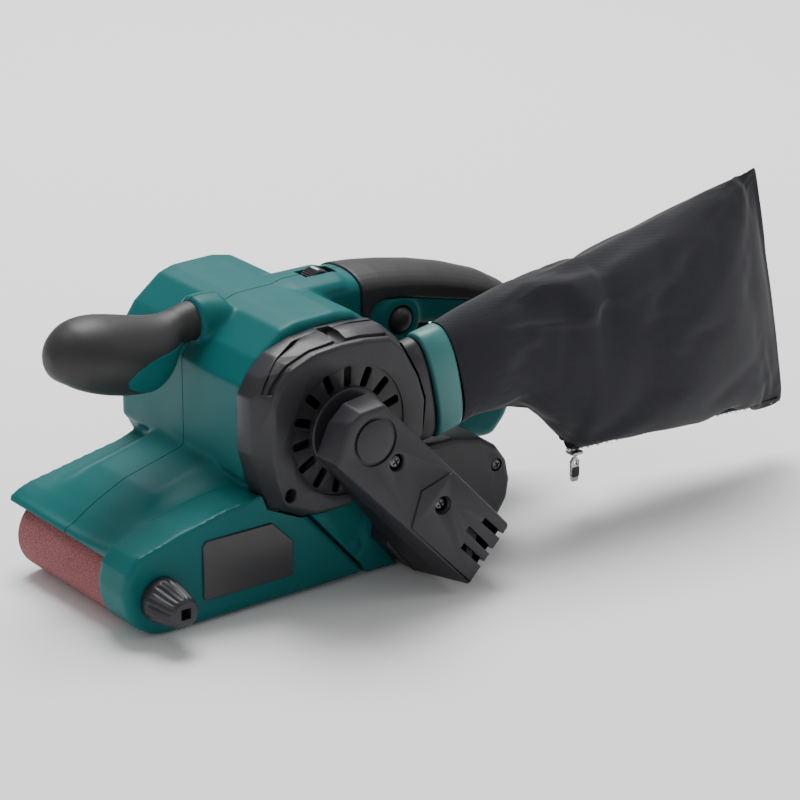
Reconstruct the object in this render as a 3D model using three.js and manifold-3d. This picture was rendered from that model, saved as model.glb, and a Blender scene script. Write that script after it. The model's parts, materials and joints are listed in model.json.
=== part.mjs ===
// Handheld belt sander for a 76 x 457 mm belt, with a dust bag.
// Millimetres. +X towards the rear, -Y the near side, +Z up.
// Origin: on the underside of the sanding belt, in the belt's centre plane.
import * as THREE from 'three';
import { mergeVertices } from 'three/addons/utils/BufferGeometryUtils.js';
import Module from 'manifold-3d';

const wasm = await Module();
wasm.setup();

// ---------- driving dimensions ----------
const BELT_W = 76, BELT_T = 1.0;             // sanding belt
const IDLER = [-82.5, 19], IDLER_R = 17.5;   // front roller axis (x, z)
const DRUM = [80, 24], DRUM_R = 22.5;        // rear drum axis (x, z)
const BELT_R_FRONT = 19, BELT_R_REAR = 24;
const MOTOR = [10, 81.5];                    // motor axis (x, z), along Y
const LAY = [56.2, 29.9];                    // layshaft axis (x, z)
const MODULE = 1, PINION_T = 14, GEAR_T = 35;
const PULLEY_R = 6.8, PULLEY2_R = 13.6;      // toothed belt pulleys, 1 : 2
const HALF = BELT_W / 2;
const GAP = 0.3;
const WALL = 2.6;
const DUCT_Y = -60, DUCT_TILT = 10.6 * Math.PI / 180;

// ---------- helpers ----------
function solid(geo) {
  const g = geo.clone();
  g.deleteAttribute('normal'); g.deleteAttribute('uv');
  const m = mergeVertices(g, 1e-4);
  return new wasm.Manifold(new wasm.Mesh({
    numProp: 3,
    vertProperties: new Float32Array(m.attributes.position.array),
    triVerts: new Uint32Array(m.index.array),
  }));
}
function area2(p) { let a = 0; for (let i = 0; i < p.length; i++) { const q = p[(i + 1) % p.length]; a += p[i][0] * q[1] - q[0] * p[i][1]; } return a / 2; }
const ccw = p => (area2(p) > 0 ? p : [...p].reverse());
// Loft through rings of 3D points. cap: function to 2D used to triangulate the end rings.
function loft(rings, cap) {
  const n = rings[0].length, pos = [], idx = [];
  for (const r of rings) for (const p of r) pos.push(...p);
  for (let k = 0; k + 1 < rings.length; k++) for (let i = 0; i < n; i++) {
    const a = k * n + i, b = k * n + (i + 1) % n, c = a + n, d = b + n;
    idx.push(a, b, d, a, d, c);
  }
  const tri = (r, base, flip) => {
    let f = [];
    for (const q of [r, rings[rings.length >> 1], rings[0], rings[rings.length - 1]]) {
      f = THREE.ShapeUtils.triangulateShape(q.map(p => new THREE.Vector2(...cap(p))), []);
      if (f.length === n - 2) break;
    }
    for (const t of f) idx.push(...(flip ? [base + t[0], base + t[2], base + t[1]] : [base + t[0], base + t[1], base + t[2]]));
  };
  tri(rings[0], 0, true); tri(rings[rings.length - 1], (rings.length - 1) * n, false);
  let g = new THREE.BufferGeometry();
  g.setAttribute('position', new THREE.BufferAttribute(new Float32Array(pos), 3));
  g.setIndex(idx);
  // volume sign check
  let v = 0; const P = i => new THREE.Vector3(pos[3 * i], pos[3 * i + 1], pos[3 * i + 2]);
  for (let i = 0; i < idx.length; i += 3) v += P(idx[i]).dot(P(idx[i + 1]).cross(P(idx[i + 2])));
  if (v < 0) { for (let i = 0; i < idx.length; i += 3) { const t = idx[i + 1]; idx[i + 1] = idx[i + 2]; idx[i + 2] = t; } g.setIndex(idx); }
  return solid(g);
}
const xz = p => [p[0], p[2]];
// prism of an (x, z) outline between two y values, or several [outline, y] sections with equal point counts
const prism = (pts, y0, y1) => { const p = ccw(pts); return loft([p.map(q => [q[0], y0, q[1]]), p.map(q => [q[0], y1, q[1]])], xz); };
const sections = (...s) => loft(s.map(([pts, y]) => ccw(pts).map(q => [q[0], y, q[1]])), xz);
// outline in (x, y) between two z values
const slab = (pts, z0, z1) => { const p = ccw(pts); return loft([p.map(q => [q[0], q[1], z0]), p.map(q => [q[0], q[1], z1])], p => [p[0], p[1]]); };
function offset(pts, d) { // parallel offset of a simple outline, outwards for d > 0
  const p = ccw(pts), n = p.length, out = [];
  for (let i = 0; i < n; i++) {
    const a = p[(i + n - 1) % n], b = p[i], c = p[(i + 1) % n];
    let e1 = [b[0] - a[0], b[1] - a[1]], e2 = [c[0] - b[0], c[1] - b[1]];
    const l1 = Math.hypot(...e1), l2 = Math.hypot(...e2);
    const n1 = [e1[1] / l1, -e1[0] / l1], n2 = [e2[1] / l2, -e2[0] / l2];
    const s = [n1[0] + n2[0], n1[1] + n2[1]], k = 2 / Math.max(0.35, s[0] * s[0] + s[1] * s[1]);
    out.push([b[0] + s[0] * k * d, b[1] + s[1] * k * d]);
  }
  return out;
}
function inset(pts, d) { // parallel offset that drops edges shorter than the offset needs
  let p = ccw(pts);
  for (let guard = 0; guard < 40; guard++) {
    const o = offset(p, d), n = p.length;
    let bad = -1;
    for (let i = 0; i < n; i++) {
      const j = (i + 1) % n;
      if ((o[j][0] - o[i][0]) * (p[j][0] - p[i][0]) + (o[j][1] - o[i][1]) * (p[j][1] - p[i][1]) <= 0) { bad = i; break; }
    }
    if (bad < 0) return o;
    const j = (bad + 1) % n, mid = [(p[bad][0] + p[j][0]) / 2, (p[bad][1] + p[j][1]) / 2];
    p = p.map((q, k) => (k === bad ? mid : q)).filter((q, k) => k !== j);
  }
  return offset(p, d);
}
const circle = (c, r, n = 24, ph = 0) => Array.from({ length: n }, (_, i) => { const t = ph + 2 * Math.PI * i / n; return [c[0] + r * Math.cos(t), c[1] + r * Math.sin(t)]; });
const cylY = (c, r, y0, y1, n = 24, r1 = r) => sections([circle(c, r, n), y0], [circle(c, r1, n), y1]);
const ringY = (c, ro, ri, y0, y1, n = 24) => cylY(c, ro, y0, y1, n).subtract(cylY(c, ri, y0 - 1, y1 + 1, n));
const box = (x0, x1, y0, y1, z0, z1) => prism([[x0, z0], [x1, z0], [x1, z1], [x0, z1]], y0, y1);
function hull2(points) { // convex outline
  const p = [...points].sort((a, b) => a[0] - b[0] || a[1] - b[1]);
  const cr = (o, a, b) => (a[0] - o[0]) * (b[1] - o[1]) - (a[1] - o[1]) * (b[0] - o[0]);
  const half = q => { const h = []; for (const s of q) { while (h.length > 1 && cr(h[h.length - 2], h[h.length - 1], s) <= 1e-6) h.pop(); h.push(s); } h.pop(); return h; };
  return [...half(p), ...half([...p].reverse())];
}
const belt2 = (c1, r1, c2, r2, n = 40) => hull2([...circle(c1, r1, n), ...circle(c2, r2, n)]);
function gear(c, teeth, m, y0, y1, phase) {
  const rp = teeth * m / 2, pts = [];
  for (let i = 0; i < teeth; i++) {
    const t = phase + 2 * Math.PI * i / teeth, w = Math.PI / teeth;
    for (const [r, k] of [[rp - 1.15 * m, -0.62], [rp + 0.8 * m, -0.2], [rp + 0.8 * m, 0.2], [rp - 1.15 * m, 0.62]])
      pts.push([c[0] + r * Math.cos(t + k * w), c[1] + r * Math.sin(t + k * w)]);
  }
  return prism(pts, y0, y1);
}
function largest(m) { const d = m.decompose(); d.sort((a, b) => b.volume() - a.volume()); return d[0]; }
// rings along a path in the XZ plane, each [centre x, centre z, half width y, half height, tilt of its plane from vertical]
function tube(rings, n = 20, pow = 2) {
  return loft(rings.map(([x, z, ry, rz, tilt = 0, p = pow]) => Array.from({ length: n }, (_, i) => {
    const t = 2 * Math.PI * i / n, c = Math.cos(t), s = Math.sin(t);
    const y = ry * Math.sign(c) * Math.abs(c) ** (2 / p), h = rz * Math.sign(s) * Math.abs(s) ** (2 / p);
    return [x - h * Math.sin(tilt), y, z + h * Math.cos(tilt)];
  })), q => [q[1], q[2] + q[0] * 0.001]);
}

// ---------- output ----------
const group = new THREE.Group();
const MAT = {
  teal: [0x2f6f70, 0.45, 0], black: [0x2b2c2e, 0.6, 0], rubber: [0x1f2022, 0.85, 0],
  steel: [0x8c8f92, 0.35, 1], alu: [0xa9abad, 0.45, 1], copper: [0xa8643a, 0.4, 1],
  grit: [0x8c6063, 0.95, 0], cork: [0xa07a4c, 0.9, 0], cloth: [0x2c2d36, 0.9, 0],
  carbon: [0x232323, 0.7, 0], zinc: [0xb9bcc0, 0.3, 1], label: [0x18181a, 0.3, 0],
};
function node(name, m, mat) {
  const s = largest(m), k = s.getMesh();
  const g = new THREE.BufferGeometry();
  const np = k.numProp, P = new Float32Array(k.numVert * 3);
  for (let i = 0; i < k.numVert; i++) for (let j = 0; j < 3; j++) P[3 * i + j] = k.vertProperties[i * np + j];
  g.setAttribute('position', new THREE.BufferAttribute(P, 3));
  g.setIndex(new THREE.BufferAttribute(new Uint32Array(k.triVerts), 1));
  g.computeVertexNormals();
  const [c, r, mt] = MAT[mat];
  const mesh = new THREE.Mesh(g, new THREE.MeshStandardMaterial({ color: c, roughness: r, metalness: mt }));
  mesh.name = name;
  group.add(mesh);
  return s;
}

// ---------- outlines (x, z) ----------
const BARREL = [[-32.6, 60], [-32.6, 104.5], [-24.5, 116], [-10.2, 127.2], [-2, 129.6], [20, 130], [30, 128], [38, 122], [46, 111], [51, 97], [52, 80], [50, 60], [50, 44], [0, 44], [-8.4, 39.4], [-27.2, 51.2], [-30.6, 58]];
const FAN_FACE = [[-31, 75], [-31, 101.5], [-26.3, 107.8], [-10.9, 113.9], [8.5, 120.2], [34.6, 121.2], [42.5, 112], [50.2, 98], [54, 86], [53, 70], [46, 56], [30, 46.5], [4.1, 43.7], [-8, 44.2], [-24, 51.6], [-28, 63]];
const FAN_BASE = offset(FAN_FACE, 5);
const SKIRT = [[-98.5, 40.2], [-103.5, 34.5], [-105.8, 24], [-104, 14.8], [-99, 7.3], [-91.4, 2.3], [-82.5, 0.8], [-68, 1.2], [12, 1.9], [26.8, 2.3], [24.4, 6], [-6.6, 41], [-29, 54.2], [-43, 53.7], [-75.5, 47.5]];
const SKIRT2 = [[-5.8, 41.6], [25.2, 6.4], [28.4, 1.6], [47, 1.2], [43, 6], [39, 12.5], [39, 44], [20, 47], [0, 46]];
const GEARCASE = [[39.8, 12.8], [44, 6.2], [48, 2.4], [88, 2], [98, 4], [106.6, 9.6], [112.6, 18.6], [114.2, 28], [112, 38.4], [106, 46.8], [96, 53.6], [79, 57], [64, 57], [50, 52], [39.8, 44.4]];
const COVER_TOP = [[-97.6, 35], [-95.2, 34.6], [-93.6, 36.2], [-87.5, 40.6], [-71, 47.6], [-51.6, 53], [-34.8, 59.5], [-31, 61.5]];
const HANDLE = [[10, 122], [12, 131.6], [28, 134.8], [54, 134.2], [70, 132.4], [84, 129.8], [102, 125.7], [120, 119.9], [138.6, 112], [150, 105.4], [159, 96], [164.5, 84], [166, 70], [164.5, 52], [159, 35.2], [149, 24.6], [136, 25.5], [118, 31.5], [106.5, 41], [98, 52], [60, 57], [44, 80], [34, 104]];
const HAND_GAP = [[73.5, 93], [79, 99.5], [104, 95.8], [124, 90.2], [139, 82.6], [145, 74], [144.5, 60], [140, 51.5], [128, 50.5], [108, 57.5], [88, 63.5], [76, 68], [71.5, 78]];
const BELT_SPACE = belt2(IDLER, BELT_R_FRONT + 1, DRUM, BELT_R_REAR + 1.2, 32);
const NOSE_SPACE = [[-110, -5], [-110, 33.4], [-94, 33.4], [-86.5, 38], [-70.4, 45], [-51, 50.4], [-40, 54.4], [-36, 54.4], [-34, 46], [-30, 30], [-30, -5]];

// ---------- housing halves ----------
const fanInfl = sections([offset(FAN_FACE, 0.4), -72.5], [offset(FAN_BASE, 0.4), -61], [offset(FAN_BASE, 0.4), -49.7]);
const motorBore = cylY(MOTOR, 34.6, -47.5, 47.5, 36);
const noseCover = prism([...COVER_TOP, [-31, 46], [-40, 40], [-97.6, 31]], -HALF - 1, 48);
const barrel = sections([offset(BARREL, -1.6), -50], [BARREL, -47.5], [BARREL, 47], [offset(BARREL, -2.2), 50]);
const rearCover = prism([[48, 30], [48, 82], [66, 66], [79, 58.4], [97, 53.6], [106, 46], [110, 36], [110, 30]], -HALF - 1.2, 48);
const handleBar = sections([offset(HANDLE, -6), -17.5], [offset(HANDLE, -1.8), -13.6], [HANDLE, -8], [HANDLE, 8], [offset(HANDLE, -1.8), 13.6], [offset(HANDLE, -6), 17.5])
  .subtract(sections([offset(HAND_GAP, 4), -18.5], [offset(HAND_GAP, 1.6), -13.6], [HAND_GAP, -8], [HAND_GAP, 8], [offset(HAND_GAP, 1.6), 13.6], [offset(HAND_GAP, 4), 18.5]));
const gripArm = tube([[-68, 104, 7, 3.4, 0.35], [-60, 103.5, 13, 5.6, 0.3], [-46, 104, 15, 8, 0.2], [-30, 103, 16, 12, 0]], 16);
const NECK = [[-101.8, 115.4, 5, 6], [-99.2, 115.6, 11.5, 11.6], [-94, 116, 16.6, 16.2], [-86.5, 116.4, 19.2, 18.6], [-77, 116.8, 19.6, 18.8], [-67.5, 117.4, 17.6, 16.8], [-58, 118.2, 14, 13.4], [-49, 119.4, 11.4, 11], [-39, 120, 10.6, 10.4], [-27, 120.6, 11.4, 10.8], [-15.5, 121, 12.8, 11.6]];
const grip = tube(NECK, 20);
const gripInfl = tube(NECK.map(([x, z, a, b], i) => [i ? x : x - 0.4, z, a + 0.35, b + 0.35]), 20);
let body = barrel.add(noseCover).add(rearCover).add(handleBar).add(gripArm);
body = body
  .subtract(prism(NOSE_SPACE, -HALF - 0.8, 60))
  .subtract(prism(inset(BELT_SPACE, 0), -HALF - 0.9, 60))
  .subtract(motorBore)
  .subtract(fanInfl)
  .subtract(gripInfl)
  .subtract(prism(inset(SKIRT, 0.35), -70, -HALF - 0.7))
  .subtract(prism(inset(SKIRT2, 0.35), -70, -HALF - 0.7))
  .subtract(prism(inset(GEARCASE, 0.35), -70, -HALF - 0.7))
  .subtract(box(40, 66, -10, 10, 94, 114))                         // speed control pocket
  .subtract(cylY([43, 125.6], 10.4, -5, 5, 24)).subtract(box(40, 46, -5, 5, 110, 122)) // speed dial pocket
  .subtract(box(80, 112, -8.6, 8.6, 88, 118))                      // trigger and switch pocket
  .subtract(cylY([79, 104.6], 7.2, -20, -8.5, 20))                 // lock button pocket
  .subtract(cylY(MOTOR, 11.2, 46, 52, 20)).subtract(cylY(MOTOR, 11.2, -52, -46, 20));
// recess for the handle overmould
const OVER_OUT = [[62, 133.9], [84, 130.4], [102, 126.3], [120, 120.5], [138.8, 112.6], [148.5, 107], [152, 99], [141, 104.5], [116.3, 111.1], [98.2, 115.4], [80.4, 118.6], [66, 121]];
const over = prism(inset(OVER_OUT, 0.5), -20, 20).intersect(
  sections([offset(HANDLE, -4.9), -18.6], [offset(HANDLE, -0.8), -14.4], [offset(HANDLE, 0.9), -8.4], [offset(HANDLE, 0.9), 8.4], [offset(HANDLE, -0.8), 14.4], [offset(HANDLE, -4.9), 18.6]));
const overCore = sections([offset(HANDLE, -8), -15.2], [offset(HANDLE, -4), -11.4], [offset(HANDLE, -2.4), -6], [offset(HANDLE, -2.4), 6], [offset(HANDLE, -4), 11.4], [offset(HANDLE, -8), 15.2]);
const overmould = over.subtract(overCore);
const overSpace = prism(inset(OVER_OUT, 0.85), -22, 22).subtract(
  sections([offset(HANDLE, -8.4), -14.9], [offset(HANDLE, -4.4), -11.1], [offset(HANDLE, -2.8), -5.7], [offset(HANDLE, -2.8), 5.7], [offset(HANDLE, -4.4), 11.1], [offset(HANDLE, -8.4), 14.9]));
body = body.subtract(overSpace);
node('housing_near', body.subtract(box(-200, 200, -0.15, 80, -20, 200)), 'teal');
node('housing_far', body.subtract(box(-200, 200, -80, 0.15, -20, 200)), 'teal');
node('front_grip', grip, 'rubber');
node('handle_grip', overmould.subtract(cylY([79, 104.6], 8, -25, -8, 20)), 'rubber');

// ---------- near-side skirts ----------
const KNOB = [-87, 19.5];
const knobHole = cylY(KNOB, 4, -70, -30, 16);
const fanCut = fanInfl;
const skirt = sections([offset(SKIRT, -1.6), -61.5], [SKIRT, -59.6], [SKIRT, -HALF - 1.2])
  .subtract(prism(inset(SKIRT, -WALL), -58.8, -30)).subtract(fanCut).subtract(knobHole);
node('side_skirt_front', skirt, 'teal');
const skirt2 = sections([offset(SKIRT2, -1.2), -61.5], [SKIRT2, -60], [SKIRT2, -HALF - 1.2])
  .subtract(prism(inset(SKIRT2, -WALL), -58.8, -30)).subtract(fanCut);
node('side_skirt_rear', skirt2, 'teal');
const LABEL = [[-63, 12], [-16, 12], [-14.6, 13.4], [-14.6, 29.4], [-26, 41], [-62, 41], [-64, 39], [-64, 13.4]];
node('label_plate', sections([offset(LABEL, -0.5), -62.7], [LABEL, -62.3], [LABEL, -61.8]), 'label');

// ---------- gear case ----------
const layHole = cylY(LAY, 5, -80, -30, 20);
const gearCase = sections([offset(GEARCASE, -2.2), -61], [GEARCASE, -58.6], [GEARCASE, -HALF - 1.2])
  .subtract(prism(inset(GEARCASE, -WALL), -59, -30)).subtract(layHole).subtract(fanCut)
  .subtract(cylY([105, 37.5], 3.1, -70, -57, 16));
node('gear_case_cover', gearCase, 'black');

// ---------- fan housing ----------
const slots = [];
for (let k = 0; k < 15; k++) {
  const a = (17 + 24 * k) * Math.PI / 180, c = Math.cos(a), s = Math.sin(a), w = 2.1;
  if (k > 10 && k < 13) continue;
  const q = [[20.5, -w], [30.3, -w], [30.3, w], [20.5, w]].map(([u, v]) => [MOTOR[0] + u * c - v * s, MOTOR[1] + u * s + v * c]);
  slots.push(prism(q, -75, -66));
}
let fan = sections([FAN_FACE, -72], [offset(FAN_FACE, 3.6), -62.5], [FAN_BASE, -60], [FAN_BASE, -50.3])
  .subtract(cylY(MOTOR, 33.4, -69.4, -49, 36))
  .subtract(cylY(MOTOR, 7, -80, -60, 20))
  .subtract(cylY([-22, 56.6], 2.9, -75, -66, 14))
  .subtract(box(-40, 70, -HALF - 1, -30, 0, 200));
for (const s of slots) fan = fan.subtract(s);
const U = [Math.cos(DUCT_TILT), Math.sin(DUCT_TILT)], W = [-Math.sin(DUCT_TILT), Math.cos(DUCT_TILT)];
const RIM_L = [61, 87.6];
// stadium ring round the duct axis: distance d along it, half height h, half width b
const stad = (d, h, b, n = 24) => Array.from({ length: n }, (_, i) => {
  const t = 2 * Math.PI * (i + 0.5) / n, c = Math.cos(t), s = Math.sin(t);
  const y = b * c, v = (h - b) * Math.sign(s) + b * s;
  return [RIM_L[0] + U[0] * d + W[0] * v, DUCT_Y + y, RIM_L[1] + U[1] * d + W[1] * v];
});
const capYZ = q => [q[1], q[2]];
const ductOuter = loft([stad(-17, 26, 10.5), stad(-1.2, 26, 10.5), stad(-1.0, 23.6, 8.6), stad(13, 23.2, 8.4)], capYZ);
const ductInner = loft([stad(-30, 21.6, 6.6), stad(20, 21.6, 6.6)], capYZ);
const ductInfl = loft([stad(-40, 26.4, 10.9), stad(-0.8, 26.4, 10.9)], capYZ);
fan = fan.subtract(loft([stad(-40, 21.6, 6.6), stad(0, 21.6, 6.6)], capYZ));
node('fan_housing', fan, 'black');
node('dust_duct', ductOuter.subtract(ductInner).subtract(fanInfl).subtract(prism(inset(BARREL, 0.4), -50.4, 60)), 'black');

// ---------- drive belt cover ----------
const ARM_BASE = [[11, 106.4], [-6.5, 105.4], [-14.2, 100.6], [-21, 79.4], [43.2, 6], [46.6, 2.2], [58, 2.4], [84.4, 31.6]];
const ARM_FACE8 = [[7.2, 104.4], [-6, 103.4], [-12.7, 99.4], [-19.9, 81.1], [53.6, 5.1], [54.6, 4.1], [56, 4.9], [78.7, 28.0]];
let arm = sections([offset(ARM_FACE8, -1), -105], [ARM_FACE8, -103.6], [ARM_BASE, -72.4])
  .subtract(sections([offset(ARM_FACE8, -2), -102.6], [offset(ARM_BASE, -2), -72.0]));
// foot of the cover, reaching back to the skirt around the layshaft
const FOOT = [[30, 19.5], [43.2, 6], [46.6, 2.2], [58, 2.4], [84.4, 31.6], [66, 51], [52, 50], [32, 38]];
const foot = prism(FOOT, -74.4, -61.9).subtract(prism(inset(FOOT, -2), -80, -60));
arm = arm.add(foot.subtract(fanInfl));
for (const [a, b] of [[[62.3, 34.9], [74.7, 22.6]], [[53.0, 33.2], [67.7, 17.3]], [[50.1, 25.4], [63.1, 12.0]]]) {
  const dx = b[0] - a[0], dz = b[1] - a[1], L = Math.hypot(dx, dz), n = [-dz / L * 1.5, dx / L * 1.5], e = [dx / L * 10, dz / L * 10];
  arm = arm.subtract(prism([[a[0] + n[0], a[1] + n[1]], [a[0] - n[0], a[1] - n[1]], [b[0] - n[0] + e[0], b[1] - n[1] + e[1]], [b[0] + n[0] + e[0], b[1] + n[1] + e[1]]], -108, -96));
}
const COVER_SCREWS = [[13.5, 75], [38.8, 48.2]];
for (const c of COVER_SCREWS) arm = arm.subtract(cylY(c, 3.3, -108, -98, 16));
arm = arm.subtract(ringY([1.3, 88.1], 11.6, 10.6, -106, -104.2, 28));
node('drive_belt_cover', arm, 'black');

// ---------- far end cap ----------
const CAP = offset(BARREL, -2.6);
let cap = sections([CAP, 50.3], [offset(CAP, -0.4), 53.4], [offset(CAP, -3), 55.4]).subtract(cylY(MOTOR, 30, 50, 53, 28));
for (let k = -3; k <= 3; k++) cap = cap.subtract(box(10 + k * 8 - 1.6, 10 + k * 8 + 1.6, 50, 57, 81.5 - 20, 81.5 + 20));
node('end_cap_far', cap, 'black');

// ---------- base frame, platen ----------
const slant = prism([[17, 1], [-8, 34], [-16, 52], [0, 56], [6, 36], [36, 0]], -50, -HALF - 0.7);
const frame = box(-52, 35.9, -45.6, -HALF - 0.5, 6, 34).subtract(slant)
  .add(box(-50, 50, -HALF - 0.9, 35, 5.2, 31).subtract(box(-46, 46, -34, 40, 10, 27)).subtract(box(-60, -24, -30, 34, 10, 27)))
  .add(box(45.6, 50, -HALF - 1.8, -HALF - 0.5, 14, 31));
const gearPlate = prism(inset(GEARCASE, -WALL - 0.4), -46, -HALF - 1.3).subtract(cylY(DRUM, 8.3, -60, -30, 24)).subtract(cylY(LAY, 5.6, -60, -30, 20));
node('base_frame', frame.add(gearPlate), 'alu');
node('cork_pad', box(-60, 52, -36, 36, 2.6, 4.8), 'cork');
node('platen', box(-62, 54, -37, 37, 1.4, 2.3), 'steel');

// ---------- sanding belt ----------
node('sanding_belt', prism(belt2(IDLER, BELT_R_FRONT, DRUM, BELT_R_REAR, 48), -HALF, HALF).subtract(prism(belt2(IDLER, BELT_R_FRONT - BELT_T, DRUM, BELT_R_REAR - BELT_T, 48), -HALF - 1, HALF + 1)), 'grit');

// ---------- motor ----------
node('stator', ringY(MOTOR, 33.6, 21.6, -20, 18, 28), 'steel');
node('field_winding_near', ringY(MOTOR, 31, 22.4, -31, -20.4, 20), 'copper');
node('field_winding_far', ringY(MOTOR, 31, 22.4, 18.4, 27.6, 20), 'copper');
node('armature_shaft', cylY(MOTOR, 4, -95, 49.6, 16), 'steel');
node('armature_core', ringY(MOTOR, 20.8, 4.2, -20, 18, 24), 'steel');
node('commutator', ringY(MOTOR, 11, 4.2, 29, 41, 24), 'copper');
let fanDisk = ringY(MOTOR, 30, 4.2, -57.4, -55.4, 24).add(ringY(MOTOR, 9, 4.2, -64, -55.4, 24));
for (let k = 0; k < 8; k++) {
  const a = k * Math.PI / 4, c = Math.cos(a), s = Math.sin(a);
  const q = [[12, -0.8], [29, -0.8], [29, 0.8], [12, 0.8]].map(([u, v]) => [MOTOR[0] + u * c - v * s, MOTOR[1] + u * s + v * c]);
  fanDisk = fanDisk.add(prism(q, -64, -56));
}
node('cooling_fan', fanDisk, 'black');
const toothed = (c, r, n, y0, y1, hole) => {
  const pts = [];
  for (let i = 0; i < n; i++) for (const [rr, k] of [[r - 0.9, 0.05], [r, 0.25], [r, 0.7], [r - 0.9, 0.9]]) { const t = 2 * Math.PI * (i + k) / n; pts.push([c[0] + rr * Math.cos(t), c[1] + rr * Math.sin(t)]); }
  return prism(pts, y0, y1).subtract(cylY(c, hole, y0 - 1, y1 + 1, 16));
};
node('drive_pulley', toothed(MOTOR, PULLEY_R, 12, -90, -79, 4.2), 'steel');
node('motor_bearing_near', ringY(MOTOR, 10.4, 4.3, -53.6, -46.6, 20), 'steel');
node('motor_bearing_far', ringY(MOTOR, 10.4, 4.3, 42.4, 49.2, 20), 'steel');
for (const [nm, sx] of [['front', -1], ['rear', 1]]) {
  const x0 = MOTOR[0] + sx * 14, x1 = MOTOR[0] + sx * 30;
  node('brush_holder_' + nm, box(Math.min(x0, x1), Math.max(x0, x1), 30, 40, 77, 86).subtract(box(Math.min(x0, x1) - 1, Math.max(x0, x1) + 1, 32, 38, 78.6, 84.4)), 'copper');
  const b0 = MOTOR[0] + sx * 11.4, b1 = MOTOR[0] + sx * 26;
  node('carbon_brush_' + nm, box(Math.min(b0, b1), Math.max(b0, b1), 32.3, 37.7, 78.9, 84.1), 'carbon');
}

// ---------- drive ----------
node('drive_belt', prism(belt2(MOTOR, PULLEY_R + 1.9, LAY, PULLEY2_R + 1.9, 32), -89, -80).subtract(prism(belt2(MOTOR, PULLEY_R + 0.35, LAY, PULLEY2_R + 0.35, 32), -91, -79)), 'rubber');
node('layshaft', cylY(LAY, 4, -96, -41.2, 16), 'steel');
node('driven_pulley', toothed(LAY, PULLEY2_R, 24, -90, -79, 4.2), 'steel');
node('layshaft_bearing', ringY(LAY, 10, 4.3, -70, -63.6, 20), 'steel');
const ang = Math.atan2(DRUM[1] - LAY[1], DRUM[0] - LAY[0]);
node('pinion', gear(LAY, PINION_T, MODULE, -54, -47, ang).subtract(cylY(LAY, 4.2, -60, -40, 16)), 'steel');
node('drum_gear', gear(DRUM, GEAR_T, MODULE, -54, -47, ang + Math.PI + Math.PI / GEAR_T).subtract(cylY(DRUM, 4.4, -60, -40, 16)), 'steel');
node('drum_shaft', cylY(DRUM, 4.1, -58.4, 34.5, 16), 'steel');
node('drum_bearing', ringY(DRUM, 8, 4.4, -46.2, -HALF - 1.5, 20), 'steel');
node('drum_core', ringY(DRUM, DRUM_R - 3, 4.4, -36, 36, 28), 'alu');
node('drum_rubber', ringY(DRUM, DRUM_R, DRUM_R - 2.7, -36, 36, 32), 'rubber');

// ---------- front roller, yoke, tension ----------
const armPlate = (y0, y1) => prism([[-90, 12], [-78, 9], [-57, 9], [-57, 28], [-78, 29], [-90, 26]], y0, y1);
let yoke = armPlate(-37.9, -36.2).add(armPlate(36.2, 37.9)).add(box(-64, -57, -37.9, 37.9, 12, 25)).subtract(cylY(IDLER, 4.3, -50, 50, 16));
node('idler_yoke', yoke, 'steel');
node('idler_axle', cylY(IDLER, 4, -37.8, 37.8, 16), 'steel');
node('idler_roller', ringY(IDLER, IDLER_R, 4.4, -35.8, 35.8, 32), 'alu');
class Helix extends THREE.Curve { getPoint(t, o = new THREE.Vector3()) { const a = t * 2 * Math.PI * 5; return o.set(-56.2 + 25 * t, 4 * Math.cos(a), 18.6 + 4 * Math.sin(a)); } }
const sec = new THREE.Shape(circle([0, 0], 0.7, 5).map(p => new THREE.Vector2(...p)));
node('tension_spring', solid(new THREE.ExtrudeGeometry(sec, { steps: 50, extrudePath: new Helix(), bevelEnabled: false })), 'steel');
const LEVER = [[-17, 27.5], [-11, 27.5], [-8, 33.4], [36, 34.6], [38, 35.4], [38, 37.4], [36, 38.4], [-11, 38.4], [-17, 33.5]]; // (x, y)
node('tension_lever', slab(LEVER, 13, 24), 'steel');
const KN = (r, n = 16) => Array.from({ length: n }, (_, i) => { const t = 2 * Math.PI * i / n, q = i % 2 ? r : r * 0.93; return [-87 + q * Math.cos(t), 19.5 + q * Math.sin(t)]; });
node('tracking_knob', sections([KN(7), -83], [KN(8.4), -81.4], [KN(9.2), -72], [KN(10.4), -66.5], [KN(10.6), -62]).subtract(prism([[-89, 17.5], [-85, 17.5], [-85, 21.5], [-89, 21.5]], -84, -78)).add(cylY(KNOB, 3, -62.4, -40.4, 14)), 'black');

// ---------- switch group ----------
node('trigger', sections([offset([[83, 98], [106, 94.4], [106.6, 88.6], [96, 88.8], [87, 91.4]], -0.8), -7.4], [[[83, 98], [106, 94.4], [106.6, 88.6], [96, 88.8], [87, 91.4]], -6.2], [[[83, 98], [106, 94.4], [106.6, 88.6], [96, 88.8], [87, 91.4]], 6.2], [offset([[83, 98], [106, 94.4], [106.6, 88.6], [96, 88.8], [87, 91.4]], -0.8), 7.4]), 'black');
node('switch_body', box(84, 108, -8, 8, 102, 113), 'black');
node('lock_button', sections([circle([79, 104.6], 3.4, 20), -22.6], [circle([79, 104.6], 5.4, 20), -21.6], [circle([79, 104.6], 6.3, 20), -19.4], [circle([79, 104.6], 6.5, 20), -12.8]), 'black');
node('speed_dial', cylY([43, 125.6], 9.6, -4.4, 4.4, 28), 'black');
node('speed_control_module', box(47.6, 63, -8.6, 8.6, 96, 110), 'black');

// ---------- dust bag ----------
node('bag_collar', loft([stad(0, 27.2, 12.1), stad(14.4, 27, 12.1)], capYZ).subtract(loft([stad(-1, 24.1, 9.1), stad(16, 24.1, 9.1)], capYZ)), 'teal');
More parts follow.
